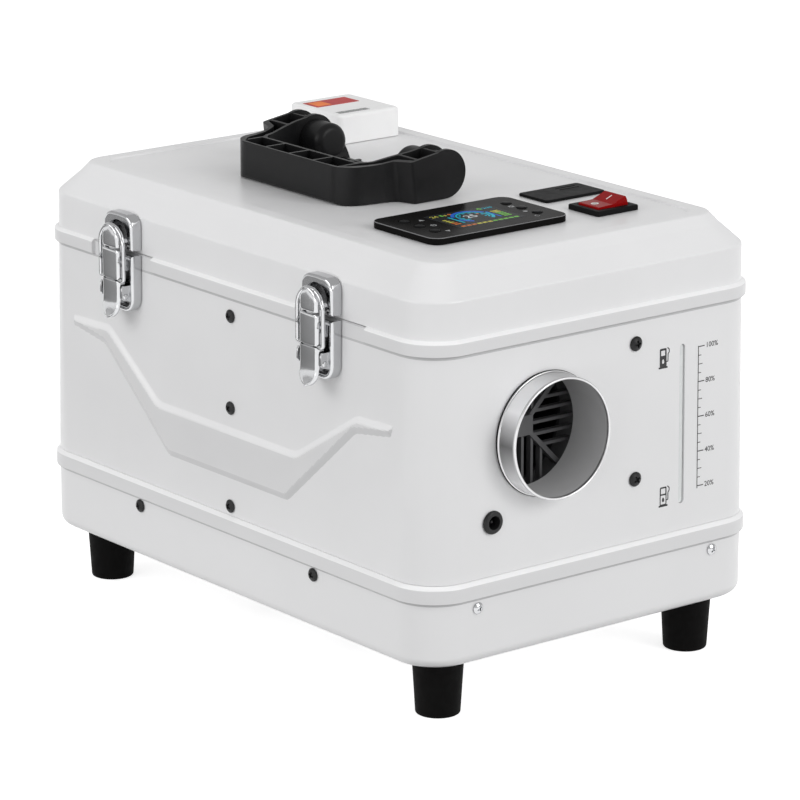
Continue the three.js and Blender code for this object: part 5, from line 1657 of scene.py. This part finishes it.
# ------------------------------------------------------------------ carried-over CAD pieces
for names, mat_ in (
    (("chassis", "divider_plate", "exhaust_pipe", "fuel_pump", "hinge_pin"), ZINC),
    (("fuel_tank",), TANK),
    (("tank_cap", "heater_shell_lower", "heater_shell_upper", "intake_pipe", "hot_air_fan"), DARK),
    (("heat_exchanger", "blower_motor", "combustion_wheel"), CAST),
    (("control_board",), BOARD),
    (("lid_gasket",), FOAM),
):
    for nm in names:
        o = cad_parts[nm]
        if not o.material_slots:
            o.data.materials.append(mat_)
        for s in o.material_slots:
            s.material = mat_
        bv = o.modifiers.new("bevel", "BEVEL")
        bv.width = 0.0005
        bv.segments = 2
        bv.limit_method = "ANGLE"
        bv.angle_limit = math.radians(40)
        bv.harden_normals = False

# ------------------------------------------------------------------ floor, light, camera
FLOOR_GLOW = 0.7
SKY = (0.300, 0.774, 0.574)  # below the horizon, along it and overhead
LAMPS = [
    ("side", (2.8, 0.9, 1.5), (0, 0, 0.15), (1.8, 1.6), 39.4),
    ("left", (-2.6, -1.6, 1.6), (0, 0, 0.15), (1.6, 1.6), 0.0),
    ("low", (0.8, -2.6, 0.35), (0, 0, 0.15), (2.4, 0.5), 10.1),
    ("near", (-0.2, -1.1, 0.75), (-0.05, -0.1, 0.2), (1.0, 0.5), 3.92),
    ("key", (0.6, -2.6, 2.1), (0, 0, 0.15), (2.6, 1.6), 0.1),
]

floor_me = bpy.data.meshes.new("floor")
floor_me.from_pydata([(-14, -14, 0), (14, -14, 0), (14, 14, 0), (-14, 14, 0)], [], [(0, 1, 2, 3)])
floor = bpy.data.objects.new("floor", floor_me)
bpy.context.scene.collection.objects.link(floor)
fm, ft, fb = material("floor_pale")
fb.inputs["Roughness"].default_value = 0.9
fb.inputs["Specular IOR Level"].default_value = 0.1
ft.links.new(ramp(ft, noise(ft, 3, 2), [(0.3, (0.80, 0.80, 0.80)), (0.7, (0.82, 0.82, 0.82))]), fb.inputs["Base Color"])
fb.inputs["Emission Color"].default_value = (1, 1, 1, 1)
fb.inputs["Emission Strength"].default_value = FLOOR_GLOW
floor_me.materials.append(fm)
floor.visible_diffuse = False

world = bpy.data.worlds.new("studio")
bpy.context.scene.world = world
world.use_nodes = True
wt = world.node_tree
wt.nodes.clear()
w_out = wt.nodes.new("ShaderNodeOutputWorld")
bg = wt.nodes.new("ShaderNodeBackground")
wtc = wt.nodes.new("ShaderNodeTexCoord")
sep = wt.nodes.new("ShaderNodeSeparateXYZ")
wt.links.new(wtc.outputs["Generated"], sep.inputs[0])
grey = [(v, v, v) for v in SKY]
sky = ramp(
    wt,
    span(wt, sep.outputs["Z"], 0.0, 1.0, -1.0, 1.0),
    [(0.0, grey[0]), (0.47, grey[0]), (0.53, grey[1]), (0.62, grey[1]), (0.75, grey[2]), (1.0, grey[2])],
)
wt.links.new(sky, bg.inputs["Color"])
bg.inputs["Strength"].default_value = 1.0
wt.links.new(bg.outputs[0], w_out.inputs[0])


def area(name, loc, target, size, power, shadow=True):
    d = bpy.data.lights.new(name, "AREA")
    d.shape = "RECTANGLE"
    d.size, d.size_y = size
    d.energy = power
    o = bpy.data.objects.new(name, d)
    bpy.context.scene.collection.objects.link(o)
    o.location = loc
    o.rotation_euler = (Vector(target) - Vector(loc)).to_track_quat("-Z", "Y").to_euler()
    return o


for lamp in LAMPS:
    area(*lamp)


def card(name, corners_m, dark, light):
    """A sheet that only polished faces see, from dark at its first corner to light at its last."""
    me = bpy.data.meshes.new(name)
    me.from_pydata(corners_m, [], [(0, 1, 2, 3)])
    o = bpy.data.objects.new(name, me)
    bpy.context.scene.collection.objects.link(o)
    m, t, b = material(name + "_surface")
    g = t.nodes.new("ShaderNodeTexCoord")
    xyz = t.nodes.new("ShaderNodeSeparateXYZ")
    t.links.new(g.outputs["Generated"], xyz.inputs[0])
    b.inputs["Base Color"].default_value = (0, 0, 0, 1)
    b.inputs["Specular IOR Level"].default_value = 0.0
    t.links.new(ramp(t, xyz.outputs["Y"], [(0.0, (light,) * 3), (0.75, (dark,) * 3), (1.0, (dark,) * 3)]), b.inputs["Emission Color"])
    b.inputs["Emission Strength"].default_value = 1.0
    me.materials.append(m)
    o.visible_camera = o.visible_diffuse = o.visible_shadow = o.visible_transmission = False


card("card_front", [(-1.5, -1.1, 0.004), (-0.2, -1.1, 0.004), (-0.2, -0.3, 0.004), (-1.5, -0.3, 0.004)], 0.30, 0.58)

cam = bpy.data.cameras.new("camera")
cam_o = bpy.data.objects.new("camera", cam)
bpy.context.scene.collection.objects.link(cam_o)
bpy.context.scene.camera = cam_o
cam.sensor_width = 36.0
cam.lens = 4367.46 * 36.0 / 800.0
cam.shift_x = (400 - 391.56) / 800.0
cam.shift_y = (414.55 - 400) / 800.0
cam_o.location = (2.0965, -1.6521, 0.8893)
look = Vector((-0.0051, 0.0034, 0.130)) - Vector(cam_o.location)
cam_o.rotation_euler = look.to_track_quat("-Z", "Y").to_euler()
cam.clip_start, cam.clip_end = 0.05, 100

bpy.context.scene.view_settings.view_transform = "Standard"
bpy.context.scene.view_settings.look = "None"
bpy.context.scene.view_settings.exposure = 0.0
bpy.context.scene.view_settings.gamma = 1.0
